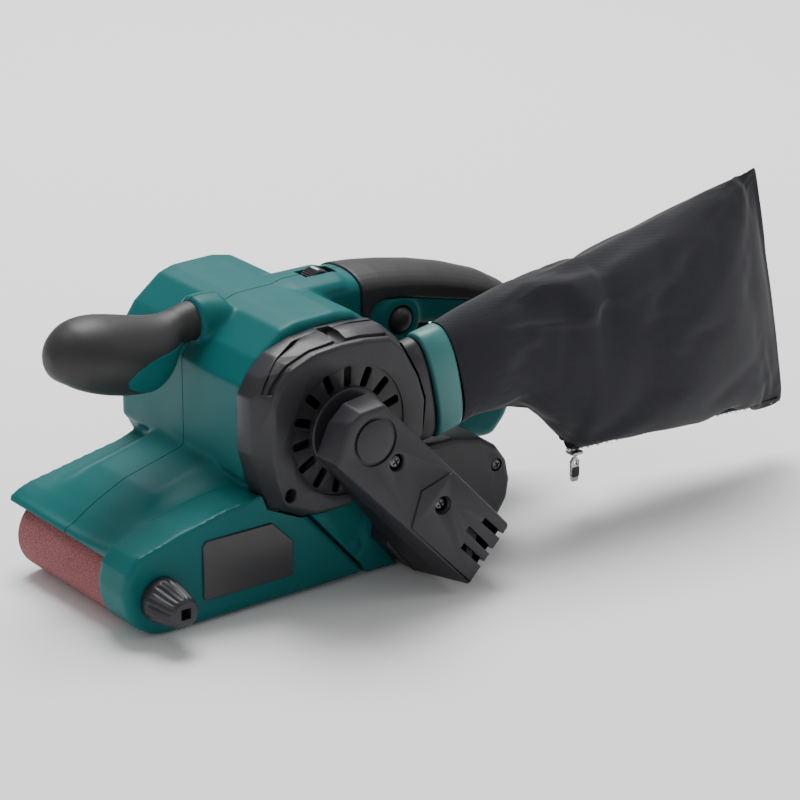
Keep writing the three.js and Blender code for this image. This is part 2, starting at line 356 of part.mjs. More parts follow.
// sections of the bag: top (x, z), bottom (x, z), half thickness
const BAG = [[[70.4, 117.6], [81.6, 64.8], 12.4], [[88, 122.6], [92, 66.4], 14.5], [[112, 127.2], [112, 64.6], 18], [[134, 131.2], [133, 55.8], 20.5], [[150, 134.2], [147.6, 43.8], 22], [[160, 136], [157, 36.2], 22.5], [[184, 141], [184, 34.8], 23.5], [[210, 146.4], [212, 33.4], 23.5], [[236, 151.6], [244, 32.2], 22.5], [[254, 155], [272, 31], 19], [[262, 156], [292.6, 33.6], 12]];
const bagRing = ([t, b, w], n = 16) => Array.from({ length: n }, (_, i) => {
  const a = 2 * Math.PI * (i + 0.5) / n, s = Math.sin(a), c = Math.cos(a), k = 0.5 + 0.5 * Math.sign(s) * Math.abs(s) ** 0.7;
  return [b[0] + (t[0] - b[0]) * k, DUCT_Y + w * Math.sign(c) * Math.abs(c) ** 0.7, b[1] + (t[1] - b[1]) * k];
});
node('dust_bag', loft(BAG.map(b => bagRing(b)), capYZ), 'cloth');
node('zip_slider', box(150.8, 157.2, DUCT_Y - 3, DUCT_Y + 3, 32.7, 35.1).add(box(153, 155.4, DUCT_Y - 1, DUCT_Y + 1, 30.4, 33)), 'zinc');
node('zip_pull', prism([[152.6, 17.6], [153.6, 16.8], [154.8, 16.8], [155.8, 17.6], [156.4, 28.4], [155.8, 29], [152.6, 29], [152, 28.4]], DUCT_Y - 0.8, DUCT_Y + 0.8).subtract(box(153.2, 155.2, DUCT_Y - 2, DUCT_Y + 2, 18.6, 22)), 'zinc');

// ---------- screws ----------
const screw = (c, y, r, L) => cylY(c, r, y, y + 2.6, 16).subtract(box(c[0] - r * 0.7, c[0] + r * 0.7, y - 1, y + 1, c[1] - 0.5, c[1] + 0.5)).add(cylY(c, r * 0.5, y + 2.2, y + L, 10));
node('cover_screw_upper', screw(COVER_SCREWS[0], -104, 3, 5), 'steel');
node('cover_screw_lower', screw(COVER_SCREWS[1], -104, 3, 5), 'steel');
node('fan_housing_screw', screw([-22, 56.6], -71.2, 2.6, 4.6), 'steel');
node('gear_case_screw', screw([105, 37.5], -60.6, 2.8, 6), 'steel');
node('cord_gland', tube([[165.9, 60, 6.5, 6.5], [172, 60, 6.2, 6.2]], 16).add(tube([[171, 60, 5, 5], [178, 60, 4.6, 4.6]], 16)).subtract(tube([[168, 60, 3.2, 3.2], [180, 60, 3.2, 3.2]], 12)), 'rubber');

export default group;
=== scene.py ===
import bpy, bmesh, math, json, random
import numpy as np
from mathutils import Vector, Matrix, noise


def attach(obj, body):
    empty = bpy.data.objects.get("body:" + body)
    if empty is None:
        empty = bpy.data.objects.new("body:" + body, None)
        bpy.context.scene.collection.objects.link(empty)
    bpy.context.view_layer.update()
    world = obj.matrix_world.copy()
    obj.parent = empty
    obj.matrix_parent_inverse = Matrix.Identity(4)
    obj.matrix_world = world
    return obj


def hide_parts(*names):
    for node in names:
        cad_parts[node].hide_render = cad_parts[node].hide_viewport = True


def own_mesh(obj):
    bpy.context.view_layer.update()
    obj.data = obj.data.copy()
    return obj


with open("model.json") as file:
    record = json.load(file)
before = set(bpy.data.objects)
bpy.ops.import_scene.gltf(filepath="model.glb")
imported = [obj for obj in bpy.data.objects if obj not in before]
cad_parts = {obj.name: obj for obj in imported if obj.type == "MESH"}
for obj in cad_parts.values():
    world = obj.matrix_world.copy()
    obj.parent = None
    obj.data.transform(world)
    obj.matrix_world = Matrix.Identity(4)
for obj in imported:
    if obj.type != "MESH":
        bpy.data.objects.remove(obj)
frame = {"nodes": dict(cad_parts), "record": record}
NODES, REC = frame["nodes"], frame["record"]
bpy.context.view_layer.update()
MM = 0.001
COL = bpy.context.scene.collection

# ------------------------------------------------------------------ camera
AZ, EL, DIST = math.radians(36.63), math.radians(21.08), 1.711
TARGET = Vector((0.093, 0.0, 0.05453))
back = Vector((-math.sin(AZ) * math.cos(EL), -math.cos(AZ) * math.cos(EL), math.sin(EL)))
right = Vector((math.cos(AZ), -math.sin(AZ), 0))
up = back.cross(right)
cam_data = bpy.data.cameras.new("camera")
cam_data.sensor_width = 36
cam_data.lens = 3515 / 800 * 36
cam_data.clip_start, cam_data.clip_end = 0.05, 30
cam = bpy.data.objects.new("camera", cam_data)
cam.matrix_world = Matrix.Translation(TARGET + back * DIST) @ Matrix((right, up, back)).transposed().to_4x4()
COL.objects.link(cam)
bpy.context.scene.camera = cam

# ------------------------------------------------------------------ 2D and mesh helpers (mm in, metres out)
def area2(p):
    return sum(p[i][0] * p[(i + 1) % len(p)][1] - p[(i + 1) % len(p)][0] * p[i][1] for i in range(len(p))) / 2
def ccw(p):
    return [tuple(q) for q in (p if area2(p) > 0 else p[::-1])]
def offset(p, d):
    p = ccw(p); n = len(p); out = []
    for i in range(n):
        a, b, c = p[i - 1], p[i], p[(i + 1) % n]
        e1, e2 = (b[0] - a[0], b[1] - a[1]), (c[0] - b[0], c[1] - b[1])
        l1, l2 = math.hypot(*e1) or 1e-9, math.hypot(*e2) or 1e-9
        s = (e1[1] / l1 + e2[1] / l2, -e1[0] / l1 - e2[0] / l2)
        k = 2 / max(0.35, s[0] ** 2 + s[1] ** 2)
        out.append((b[0] + s[0] * k * d, b[1] + s[1] * k * d))
    return out
def inset(p, d):
    p = ccw(p)
    for _ in range(200):
        o = offset(p, d); n = len(p); bad = -1
        for i in range(n):
            j = (i + 1) % n
            if (o[j][0] - o[i][0]) * (p[j][0] - p[i][0]) + (o[j][1] - o[i][1]) * (p[j][1] - p[i][1]) <= 0:
                bad = i; break
        if bad < 0 or n < 4:
            return o
        j = (bad + 1) % n
        mid = ((p[bad][0] + p[j][0]) / 2, (p[bad][1] + p[j][1]) / 2)
        p = [mid if k == bad else q for k, q in enumerate(p) if k != j]
    return o
def fillet(p, r, n=5):
    """Rounds each corner of a 2D outline; r is one radius or one per corner."""
    p = [tuple(q) for q in p]; m = len(p); out = []
    rs = r if isinstance(r, (list, tuple)) else [r] * m
    for i in range(m):
        a, b, c = np.array(p[i - 1], float), np.array(p[i], float), np.array(p[(i + 1) % m], float)
        u, v = a - b, c - b
        lu, lv = np.linalg.norm(u), np.linalg.norm(v); u /= lu; v /= lv
        ang = math.acos(max(-1, min(1, float(u @ v))))
        if rs[i] <= 0 or ang > 3.05:
            out.append(tuple(b)); continue
        d = min(rs[i] / math.tan(ang / 2), lu * 0.48, lv * 0.48); rr = d * math.tan(ang / 2)
        w = (u + v) / np.linalg.norm(u + v); ctr = b + w * rr / math.sin(ang / 2)
        p0, p1 = b + u * d - ctr, b + v * d - ctr
        a0, a1 = math.atan2(p0[1], p0[0]), math.atan2(p1[1], p1[0])
        da = (a1 - a0 + math.pi) % (2 * math.pi) - math.pi
        for k in range(n + 1):
            t = a0 + da * k / n
            out.append((float(ctr[0] + rr * math.cos(t)), float(ctr[1] + rr * math.sin(t))))
    return out
def resample(p, n):
    """n points evenly along a closed outline, starting at its first point."""
    q = np.array(list(p) + [p[0]], float); s = np.r_[0, np.cumsum(np.hypot(*np.diff(q, axis=0).T))]
    t = np.linspace(0, s[-1], n, endpoint=False)
    return [(float(np.interp(x, s, q[:, 0])), float(np.interp(x, s, q[:, 1]))) for x in t]
def circle(c, r, n=48, ph=0.0):
    return [(c[0] + r * math.cos(ph + 2 * math.pi * i / n), c[1] + r * math.sin(ph + 2 * math.pi * i / n)) for i in range(n)]
def hull2(pts):
    p = sorted(set((round(a, 6), round(b, 6)) for a, b in pts))
    def half(q):
        h = []
        for s in q:
            while len(h) > 1 and (h[-1][0] - h[-2][0]) * (s[1] - h[-2][1]) - (h[-1][1] - h[-2][1]) * (s[0] - h[-2][0]) <= 1e-9:
                h.pop()
            h.append(s)
        return h[:-1]
    return half(p) + half(p[::-1])
def belt2(c1, r1, c2, r2, n=96):
    return hull2(circle(c1, r1, n) + circle(c2, r2, n))
def add_mesh(name, verts, faces):
    me = bpy.data.meshes.new(name)
    me.from_pydata([(v[0] * MM, v[1] * MM, v[2] * MM) for v in verts], [], faces)
    bm = bmesh.new(); bm.from_mesh(me)
    bmesh.ops.recalc_face_normals(bm, faces=bm.faces)
    bm.to_mesh(me); bm.free(); me.update()
    ob = bpy.data.objects.new(name, me); COL.objects.link(ob)
    return ob
def loft(name, rings, caps=True):
    n = len(rings[0]); V = [p for r in rings for p in r]; F = []
    for k in range(len(rings) - 1):
        for i in range(n):
            j = (i + 1) % n
            F.append((k * n + i, k * n + j, (k + 1) * n + j, (k + 1) * n + i))
    if caps:
        F.append(tuple(range(n))[::-1]); F.append(tuple((len(rings) - 1) * n + i for i in range(n)))
    return add_mesh(name, V, F)
def prism(pts, y0, y1, name="t"):
    p = ccw(pts)
    return loft(name, [[(q[0], y0, q[1]) for q in p], [(q[0], y1, q[1]) for q in p]])
def sections(secs, name="t"):
    return loft(name, [[(q[0], y, q[1]) for q in ccw(p)] for p, y in secs])
def slab(pts, z0, z1, name="t"):
    p = ccw(pts)
    return loft(name, [[(q[0], q[1], z0) for q in p], [(q[0], q[1], z1) for q in p]])
def cylY(c, r, y0, y1, n=64, r1=None, name="t"):
    return sections([(circle(c, r, n), y0), (circle(c, r if r1 is None else r1, n), y1)], name)
def boxm(x0, x1, y0, y1, z0, z1):
    return prism([(x0, z0), (x1, z0), (x1, z1), (x0, z1)], y0, y1)
def spline(stations, n):
    """Catmull-Rom through rows of numbers."""
    S = np.array(stations, float); m = len(S); out = []
    P = np.vstack([2 * S[0] - S[1], S, 2 * S[-1] - S[-2]])
    for k in range(n):
        t = k / (n - 1) * (m - 1); i = min(int(t), m - 2); u = t - i
        a, b, c, d = P[i], P[i + 1], P[i + 2], P[i + 3]
        out.append(0.5 * (2 * b + (c - a) * u + (2 * a - 5 * b + 4 * c - d) * u * u + (3 * b - a - 3 * c + d) * u ** 3))
    return out
def tube_x(stations, n=48, m=70, name="t", pw=2.0):
    rings = []
    for x, z, ry, rz in spline(stations, m):
        r = []
        for i in range(n):
            t = 2 * math.pi * i / n; c, s = math.cos(t), math.sin(t)
            r.append((x, ry * math.copysign(abs(c) ** (2 / pw), c), z + rz * math.copysign(abs(s) ** (2 / pw), s)))
        rings.append(r)
    return loft(name, rings)
def kill(ob):
    me = ob.data; bpy.data.objects.remove(ob, do_unlink=True)
    if me.users == 0:
        bpy.data.meshes.remove(me)
def bake_mods(ob):
    dg = bpy.context.evaluated_depsgraph_get(); dg.update()
    me = bpy.data.meshes.new_from_object(ob.evaluated_get(dg))
    old = ob.data; ob.modifiers.clear(); ob.data = me
    if old.users == 0:
        bpy.data.meshes.remove(old)
    return ob
def boolean(a, b, op="DIFFERENCE", solver="MANIFOLD", keep=False):
    for s in (solver, "EXACT"):
        n0 = len(a.data.polygons)
        m = a.modifiers.new("b", "BOOLEAN"); m.operation = op; m.object = b; m.solver = s
        dg = bpy.context.evaluated_depsgraph_get(); dg.update()
        me = bpy.data.meshes.new_from_object(a.evaluated_get(dg))
        a.modifiers.clear()
        if len(me.polygons) > 0:
            old = a.data; a.data = me
            if old.users == 0:
                bpy.data.meshes.remove(old)
            break
        bpy.data.meshes.remove(me)
        print("boolean fell back", a.name, b.name, op, n0)
    if not keep:
        kill(b)
    return a
def cut(a, *bs):
    for b in bs:
        boolean(a, b)
    return a
def join_all(obs, name):
    """One object from several, without joining the solids."""
    bm = bmesh.new()
    for o in obs:
        bm.from_mesh(o.data)
    me = bpy.data.meshes.new(name); bm.to_mesh(me); bm.free()
    for o in obs:
        kill(o)
    ob = bpy.data.objects.new(name, me); COL.objects.link(ob)
    return ob
def remesh(ob, voxel_mm, smooth=4, factor=0.5):
    m = ob.modifiers.new("r", "REMESH"); m.mode = "VOXEL"; m.voxel_size = voxel_mm * MM; m.use_smooth_shade = True
    if smooth:
        s = ob.modifiers.new("s", "SMOOTH"); s.factor = factor; s.iterations = smooth
    return bake_mods(ob)
def bevel(ob, w_mm, seg=3, ang=32):
    m = ob.modifiers.new("bev", "BEVEL"); m.width = w_mm * MM; m.segments = seg; m.limit_method = "ANGLE"
    m.angle_limit = math.radians(ang); m.miter_outer = "MITER_ARC"; m.use_clamp_overlap = True; m.harden_normals = False
    return bake_mods(ob)
def shade(ob, ang=35):
    ob.data.shade_smooth()
    if ang:
        ob.data.set_sharp_from_angle(angle=math.radians(ang))
    return ob
def clean(ob, dist=1e-6):
    bm = bmesh.new(); bm.from_mesh(ob.data)
    bmesh.ops.remove_doubles(bm, verts=bm.verts, dist=dist)
    bmesh.ops.dissolve_degenerate(bm, dist=dist, edges=bm.edges)
    bm.to_mesh(ob.data); bm.free()
    return ob
def place(ob, name, mat, body, slot, *replaced, ang=35):
    ob.name = name; ob.data.name = name
    ob.data.materials.clear(); ob.data.materials.append(mat)
    shade(ob, ang)
    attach(ob, body)
    if replaced:
        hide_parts(*replaced)
    return ob

# ------------------------------------------------------------------ materials
def node_mat(name):
    m = bpy.data.materials.new(name); m.use_nodes = True
    nt = m.node_tree; b = nt.nodes["Principled BSDF"]
    return m, nt, b
def rgb(*c):
    """sRGB bytes to linear."""
    return tuple(((v / 255) / 12.92 if v / 255 <= 0.04045 else ((v / 255 + 0.055) / 1.055) ** 2.4) for v in c) + (1.0,)
def coords(nt):
    t = nt.nodes.new("ShaderNodeTexCoord"); return t.outputs["Object"]
def noise_node(nt, vec, scale, detail=4, rough=0.55):
    n = nt.nodes.new("ShaderNodeTexNoise"); n.inputs["Scale"].default_value = scale
    n.inputs["Detail"].default_value = detail; n.inputs["Roughness"].default_value = rough
    nt.links.new(vec, n.inputs["Vector"]); return n.outputs["Fac"]
def ramp(nt, fac, stops):
    r = nt.nodes.new("ShaderNodeValToRGB"); e = r.color_ramp.elements
    while len(e) < len(stops):
        e.new(0.5)
    for el, (p, c) in zip(e, stops):
        el.position = p; el.color = c if len(c) == 4 else (*c, 1)
    nt.links.new(fac, r.inputs["Fac"]); return r.outputs["Color"]
def grey(v):
    return (v, v, v, 1)
def bump(nt, b, height, strength, dist):
    n = nt.nodes.new("ShaderNodeBump"); n.inputs["Strength"].default_value = strength; n.inputs["Distance"].default_value = dist
    nt.links.new(height, n.inputs["Height"]); nt.links.new(n.outputs["Normal"], b.inputs["Normal"]); return n
def plastic(name, col, rough=0.4, grain=0.12, scale=1400, var=0.06, spec=0.5, coat=0.0, wear=0.05):
    m, nt, b = node_mat(name); v = coords(nt)
    c = rgb(*col); lo = tuple(x * (1 - var) for x in c[:3]) + (1,); hi = tuple(min(1, x * (1 + var)) for x in c[:3]) + (1,)
    nt.links.new(ramp(nt, noise_node(nt, v, 22, 5), [(0.3, lo), (0.7, hi)]), b.inputs["Base Color"])
    nt.links.new(ramp(nt, noise_node(nt, v, 60, 4), [(0.3, grey(rough - wear)), (0.75, grey(rough + wear))]), b.inputs["Roughness"])
    b.inputs["Specular IOR Level"].default_value = spec
    b.inputs["Coat Weight"].default_value = coat
    bump(nt, b, noise_node(nt, v, scale, 2, 0.5), grain, 0.0002)
    return m
def metal(name, col, rough=0.28, scale=(1, 1, 1), streak=180, var=0.12, met=1.0):
    m, nt, b = node_mat(name); v = coords(nt)
    mp = nt.nodes.new("ShaderNodeMapping"); mp.inputs["Scale"].default_value = scale; nt.links.new(v, mp.inputs["Vector"])
    f = noise_node(nt, mp.outputs["Vector"], streak, 6, 0.65)
    c = rgb(*col); lo = tuple(x * (1 - var) for x in c[:3]) + (1,); hi = tuple(min(1, x * (1 + var)) for x in c[:3]) + (1,)
    nt.links.new(ramp(nt, f, [(0.3, lo), (0.7, hi)]), b.inputs["Base Color"])
    nt.links.new(ramp(nt, f, [(0.3, grey(rough * 0.8)), (0.7, grey(rough * 1.25))]), b.inputs["Roughness"])
    b.inputs["Metallic"].default_value = met
    bump(nt, b, f, 0.08, 0.0001)
    return m
TEAL = plastic("teal_plastic", (0, 92, 93), 0.44, 0.10, 1500, 0.035, 0.19)
TEAL_LIGHT = plastic("teal_plastic_light", (58, 118, 116), 0.40, 0.10, 1500, 0.035, 0.4)
BLACK = plastic("black_plastic", (38, 38, 42), 0.44, 0.22, 1300, 0.07, 0.42)
BLACK2 = plastic("black_plastic_dark", (36, 34, 40), 0.44, 0.16, 1300, 0.06, 0.36)
RUBBER = plastic("black_rubber", (42, 42, 43), 0.5, 0.22, 900, 0.08, 0.38)
LABELM = plastic("label", (48, 48, 50), 0.33, 0.04, 900, 0.04, 0.5)
CORK = plastic("cork", (150, 112, 76), 0.85, 0.5, 500, 0.25, 0.2)
CARBON = plastic("carbon", (26, 26, 28), 0.5, 0.2, 900, 0.1, 0.4)
STEEL = metal("steel", (132, 134, 139), 0.33, streak=60, var=0.06)
CHROME = metal("screw_chrome", (206, 208, 212), 0.18)
DARKSTEEL = metal("screw_dark", (92, 92, 97), 0.3)
ALU = metal("aluminium", (168, 171, 174), 0.42, streak=90)
COPPER = metal("copper", (184, 104, 62), 0.34)
ZINC = metal("zinc", (188, 190, 194), 0.24)

def grit_mat():
    m, nt, b = node_mat("abrasive"); v = coords(nt)
    f = noise_node(nt, v, 2600, 3, 0.7); g = noise_node(nt, v, 40, 4)
    mix = nt.nodes.new("ShaderNodeMix"); mix.data_type = "RGBA"; mix.blend_type = "MULTIPLY"; mix.inputs["Factor"].default_value = 0.5
    nt.links.new(ramp(nt, f, [(0.3, rgb(84, 35, 39)), (0.5, rgb(133, 70, 74)), (0.72, rgb(196, 142, 142))]), mix.inputs[6])
    nt.links.new(ramp(nt, g, [(0.3, grey(0.82)), (0.7, grey(1.0))]), mix.inputs[7])
    nt.links.new(mix.outputs[2], b.inputs["Base Color"])
    b.inputs["Roughness"].default_value = 0.86
    bump(nt, b, f, 0.7, 0.0004)
    return m
GRIT = grit_mat()
def backing_mat():
    m, nt, b = node_mat("belt_backing"); v = coords(nt)
    nt.links.new(ramp(nt, noise_node(nt, v, 900, 4), [(0.3, rgb(150, 118, 84)), (0.7, rgb(182, 150, 112))]), b.inputs["Base Color"])
    b.inputs["Roughness"].default_value = 0.9
    return m
BACKING = backing_mat()
def cloth_mat():
    m, nt, b = node_mat("bag_cloth"); v = coords(nt)
    w = []
    for axis in ("X", "Z"):
        t = nt.nodes.new("ShaderNodeTexWave"); t.wave_type = "BANDS"; t.bands_direction = axis
        t.inputs["Scale"].default_value = 300; t.inputs["Distortion"].default_value = 1.6; t.inputs["Detail"].default_value = 1
        nt.links.new(v, t.inputs["Vector"]); w.append(t.outputs["Fac"])
    mx = nt.nodes.new("ShaderNodeMath"); mx.operation = "MULTIPLY"; nt.links.new(w[0], mx.inputs[0]); nt.links.new(w[1], mx.inputs[1])
    ad = nt.nodes.new("ShaderNodeMath"); ad.operation = "ADD"; nt.links.new(mx.outputs[0], ad.inputs[0]); nt.links.new(noise_node(nt, v, 700, 3), ad.inputs[1])
    mix = nt.nodes.new("ShaderNodeMix"); mix.data_type = "RGBA"; mix.blend_type = "MULTIPLY"; mix.inputs["Factor"].default_value = 1
    nt.links.new(ramp(nt, noise_node(nt, v, 18, 5), [(0.25, rgb(24, 24, 31)), (0.75, rgb(34, 34, 43))]), mix.inputs[6])
    nt.links.new(ramp(nt, mx.outputs[0], [(0.0, grey(0.84)), (0.6, grey(1.0))]), mix.inputs[7])
    nt.links.new(mix.outputs[2], b.inputs["Base Color"])
    b.inputs["Roughness"].default_value = 0.88
    b.inputs["Sheen Weight"].default_value = 0.16; b.inputs["Sheen Roughness"].default_value = 0.45
    bump(nt, b, ad.outputs[0], 0.2, 0.0004)
    return m
CLOTH = cloth_mat()
ZIPTAPE = plastic("zip_tape", (30, 31, 36), 0.85, 0.4, 700, 0.12, 0.25)

SLOT_MAT = {"teal_plastic": TEAL, "black_plastic": BLACK, "black_rubber": RUBBER, "steel": STEEL, "aluminium": ALU, "copper": COPPER,
            "abrasive": GRIT, "cork": CORK, "bag_cloth": CLOTH, "carbon": CARBON, "zinc": ZINC, "label": LABELM}
for name, o in NODES.items():
    for s in o.material_slots:
        key = s.material.name.split(".")[0] if s.material else ""
        if key in SLOT_MAT:
            s.material = SLOT_MAT[key]

# ------------------------------------------------------------------ outlines, as on the CAD (x, z)
HALF = 38.0
IDLER, DRUM, MOTOR, LAY, KNOB = (-82.5, 19), (80, 24), (10, 81.5), (56.2, 29.9), (-87, 19.5)
RF, RR = 19.0, 24.0
BARREL = [(-32.6, 60), (-32.6, 104.5), (-24.5, 116), (-10.2, 127.2), (-2, 129.6), (20, 130), (30, 128), (38, 122), (46, 111), (51, 97), (52, 80), (50, 60), (50, 44), (0, 44), (-8.4, 39.4), (-27.2, 51.2), (-30.6, 58)]
FAN_FACE = [(-31, 75), (-31, 101.5), (-26.3, 107.8), (-10.9, 113.9), (8.5, 120.2), (34.6, 121.2), (42.5, 112), (50.2, 98), (54, 86), (53, 70), (46, 56), (30, 46.5), (4.1, 43.7), (-8, 44.2), (-24, 51.6), (-28, 63)]
FAN_BASE = offset(FAN_FACE, 5)
SKIRT = [(-98.5, 40.2), (-103.5, 34.5), (-105.8, 24), (-104, 14.8), (-99, 7.3), (-91.4, 2.3), (-82.5, 0.8), (-68, 1.2), (12, 1.9), (26.8, 2.3), (24.4, 6), (-6.6, 41), (-29, 54.2), (-43, 53.7), (-75.5, 47.5)]
SKIRT2 = [(-5.8, 41.6), (25.2, 6.4), (28.4, 1.6), (47, 1.2), (43, 6), (39, 12.5), (39, 44), (20, 47), (0, 46)]
GEARCASE = [(39.8, 12.8), (44, 6.2), (48, 2.4), (88, 2), (98, 4), (106.6, 9.6), (112.6, 18.6), (114.2, 28), (112, 38.4), (106, 46.8), (96, 53.6), (79, 57), (64, 57), (50, 52), (39.8, 44.4)]
HANDLE = [(10, 120), (12, 128.2), (28, 131.4), (54, 131.0), (70, 129.7), (84, 127.6), (102, 124.0), (120, 119.0), (138.6, 112), (150, 105.4), (159, 96), (164.5, 84), (164.4, 71), (158, 54), (149, 36.5), (140, 26.8), (131, 27.6), (118, 31.5), (106.5, 41), (98, 52), (60, 57), (44, 80), (34, 104)]
HAND_GAP = [(73.5, 93), (79, 99.5), (104, 95.8), (124, 90.2), (139, 82.6), (145, 74), (144.5, 60), (140, 51.5), (128, 50.5), (108, 57.5), (88, 63.5), (76, 68), (71.5, 78)]
NOSE_SPACE = [(-110, -5), (-110, 33.4), (-94, 33.4), (-86.5, 38), (-70.4, 45), (-51, 50.4), (-40, 54.4), (-36, 54.4), (-34, 46), (-30, 30), (-30, -5)]
OVER_OUT = [(62, 133.9), (84, 130.4), (102, 126.3), (120, 120.5), (138.8, 112.6), (148.5, 107), (152, 99), (141, 104.5), (116.3, 111.1), (98.2, 115.4), (80.4, 118.6), (66, 121)]
BELT_SPACE = belt2(IDLER, RF + 1, DRUM, RR + 1.2, 64)
TILT = math.radians(10.6)
U, W = (math.cos(TILT), math.sin(TILT)), (-math.sin(TILT), math.cos(TILT))
RIM_L, DUCT_Y = (61, 87.6), -60
def stad(d, h, b, n=72, dv=0):
    r = []
    for i in range(n):
        t = 2 * math.pi * (i + 0.5) / n; c, s = math.cos(t), math.sin(t)
        v = h * math.copysign(abs(s) ** 0.84, s) + dv
        r.append((RIM_L[0] + U[0] * d + W[0] * v, DUCT_Y + b * math.copysign(abs(c) ** 0.84, c), RIM_L[1] + U[1] * d + W[1] * v))
    return r
F = lambda p, r, n=5: fillet(ccw(p), r, n)

# ------------------------------------------------------------------ teal housing, one moulding split down the middle
def nose_height(x, y):
    """The front cover's top: flanks that fall towards the far edge, a raised middle that grows towards the barrel, a bowl beside the barrel."""
    crown = np.interp(x, [-98.8, -94.7, -88, -79.1, -65.3, -51.5, -40, -33.6, -26], [35.4, 36.4, 41.0, 46.0, 52.4, 56.0, 59, 60.8, 65])
    near = np.interp(x, [-98.8, -96.8, -75.5, -52.7, -42.9, -26], [41.2, 42.0, 47.1, 52.6, 54.6, 57.5])
    far = np.interp(x, [-98.8, -96.8, -93.5, -87.9, -71.3, -54.6, -37.7, -30, -26], [35.4, 36.4, 38.4, 40.2, 43.4, 46.6, 49.8, 52.5, 54])
    if y <= 0:
        t = min(1, -y / 61.5); ya, yb = 21.0, 37.0
        flank = near + (crown - near) * max(0.0, 1 - t) ** 1.6
        low = near - 1.2 * math.sin(math.pi * min(1, max(0, (t - 0.3) / 0.7)))
    else:
        t = min(1, y / 48); ya, yb = 21.0, 40.0
        low = far + (crown - far) * max(0.0, 1 - t) * 0.25
    k = min(1, max(0, (abs(y) - ya) / (yb - ya))); k = k * k * (3 - 2 * k)
    front = np.clip((x + 92) / 16, 0, 1); front = front * front * (3 - 2 * front)
    if y <= 0:
        soft = crown + (near - crown) * t ** 2.0
    else:
        soft = crown + (far - crown) * t ** 1.8
    step = crown + (low - crown) * k
    z = soft * (1 - front) + step * front
    z = z - 6.5 * np.exp(-((x + 33) / 12) ** 2 - ((y + 49) / 8.5) ** 2)
    return z
def nose_solid():
    X = np.array([-98.8, -97.8, -96.6, -95.2, -93.5, -91, -88, -84.5, -81, -77, -73, -69, -65, -61, -57, -53, -49, -45, -41.5, -38, -35, -31, -26])
    rings = []
    for y in list(np.linspace(-61.5, 0, 42)) + list(np.linspace(2, 49.5, 28)):
        z = nose_height(X, y); d = np.where(X < -98, 0.9, 0.0)
        rings.append([(float(x), float(y), float(q)) for x, q in zip(X, z - d)] + [(-26, y, 43.0), (-40, y, 38.0), (-99.0, y, 30.6)])
    return loft("nose", rings)
def handle_solid():
    h = F(HANDLE, 9, 4); g = F(HAND_GAP, 8, 4)
    top = [(-9, -17.5), (-6.2, -16.5), (-4.2, -14.6), (-2.7, -12), (-1.5, -8.8), (-0.7, -5), (-0.4, 0), (-0.7, 5), (-1.5, 8.8), (-2.7, 12), (-4.2, 14.6), (-6.2, 16.5), (-9, 17.5)]
    prof = [(-9, -17.5), (-5.2, -16.9), (-2.6, -15), (-1.0, -12), (-0.2, -8), (0, -3), (0, 3), (-0.2, 8), (-1.0, 12), (-2.6, 15), (-5.2, 16.9), (-9, 17.5)]
    a = sections([(offset(h, d * 0.9), y) for d, y in top], "handle")
    b = sections([(offset(g, -d * 0.5), y) for d, y in [(-13, -18.6)] + prof[1:-1] + [(-13, 18.6)]], "gap")
    return cut(a, b)
def teal_body():
    obs = [sections([(offset(BARREL, -3.2), -50), (offset(BARREL, -0.8), -49), (BARREL, -47), (BARREL, 52), (offset(BARREL, -0.8), 54.2), (offset(BARREL, -2.4), 55.2)], "barrel"),
           nose_solid(),
           sections([(offset(SKIRT, -2.2), -61.6), (offset(SKIRT, -0.5), -60.9), (SKIRT, -59.2), (SKIRT, -38.9)], "skirt"),
           prism([(48, 30), (48, 82), (66, 66), (79, 58.4), (97, 53.6), (106, 46), (110, 36), (110, 30)], -39.2, 47.4, "rear"),
           handle_solid(),
           tube_x([(-27.6, 121.6, 9.6, 9.6), (-26.8, 121.6, 11.2, 11.2), (-25, 121.5, 11.8, 11.7), (-20, 121.2, 12.6, 12), (-12, 120.4, 15, 12)], 48, 40, "root"),
           sections([(circle((78.4, 104.2), 11.6, 40), -19.6), (circle((78.4, 104.2), 12.6, 40), -18.4), (circle((78.4, 104.2), 14.5, 40), -14), (circle((78.4, 104.2), 14.5, 40), 0)], "boss"),
           sections([(offset([(8, 114), (8, 127.6), (24, 131.4), (50, 131.2), (60, 125), (60, 106)], d), y) for d, y in [(-4.6, -16.5), (-2.2, -14.4), (-0.9, -10.8), (-0.2, -6), (0, 0), (-0.2, 6), (-0.9, 10.8), (-2.2, 14.4), (-4.6, 16.5)]], "crown")]
    b = obs[0]
    for o in obs[1:]:
        boolean(b, o, "UNION")
    remesh(b, 1.15, 5, 0.5)
    cut(b, boxm(-130, -40.5, 48.8, 70, 20, 62))      # the far edge of the nose cover, trimmed straight
    return b
body = teal_body()
GAP = 0.25
fan_infl = sections([(offset(FAN_FACE, 0.5), -73), (offset(FAN_BASE, 0.4), -61), (offset(FAN_BASE, 0.4), -49.7)], "t")
NECK = [(-104.6, 117.6, 1.2, 1.2), (-104.1, 117.6, 4.4, 4.4), (-102.4, 117.9, 8.0, 7.9), (-99.8, 118.4, 10.9, 10.6), (-96.2, 118.6, 13.6, 13.0), (-91.4, 118.2, 16.4, 15.6), (-85, 117.2, 18.6, 17.6), (-78, 115.8, 19.8, 18.7), (-70, 114.0, 20.0, 19.0), (-62.6, 112.5, 19.4, 18.7), (-55, 111.3, 18.5, 18.0), (-49.4, 111.6, 17.0, 16.6), (-45, 113.0, 14.8, 14.8), (-41.6, 115.4, 12.4, 12.6), (-38.6, 118.0, 10.2, 10.4), (-35.4, 120.0, 9.0, 9.4), (-31, 121.2, 8.9, 9.2), (-26, 121.7, 9.1, 9.3), (-18, 122.0, 9.6, 9.4)]
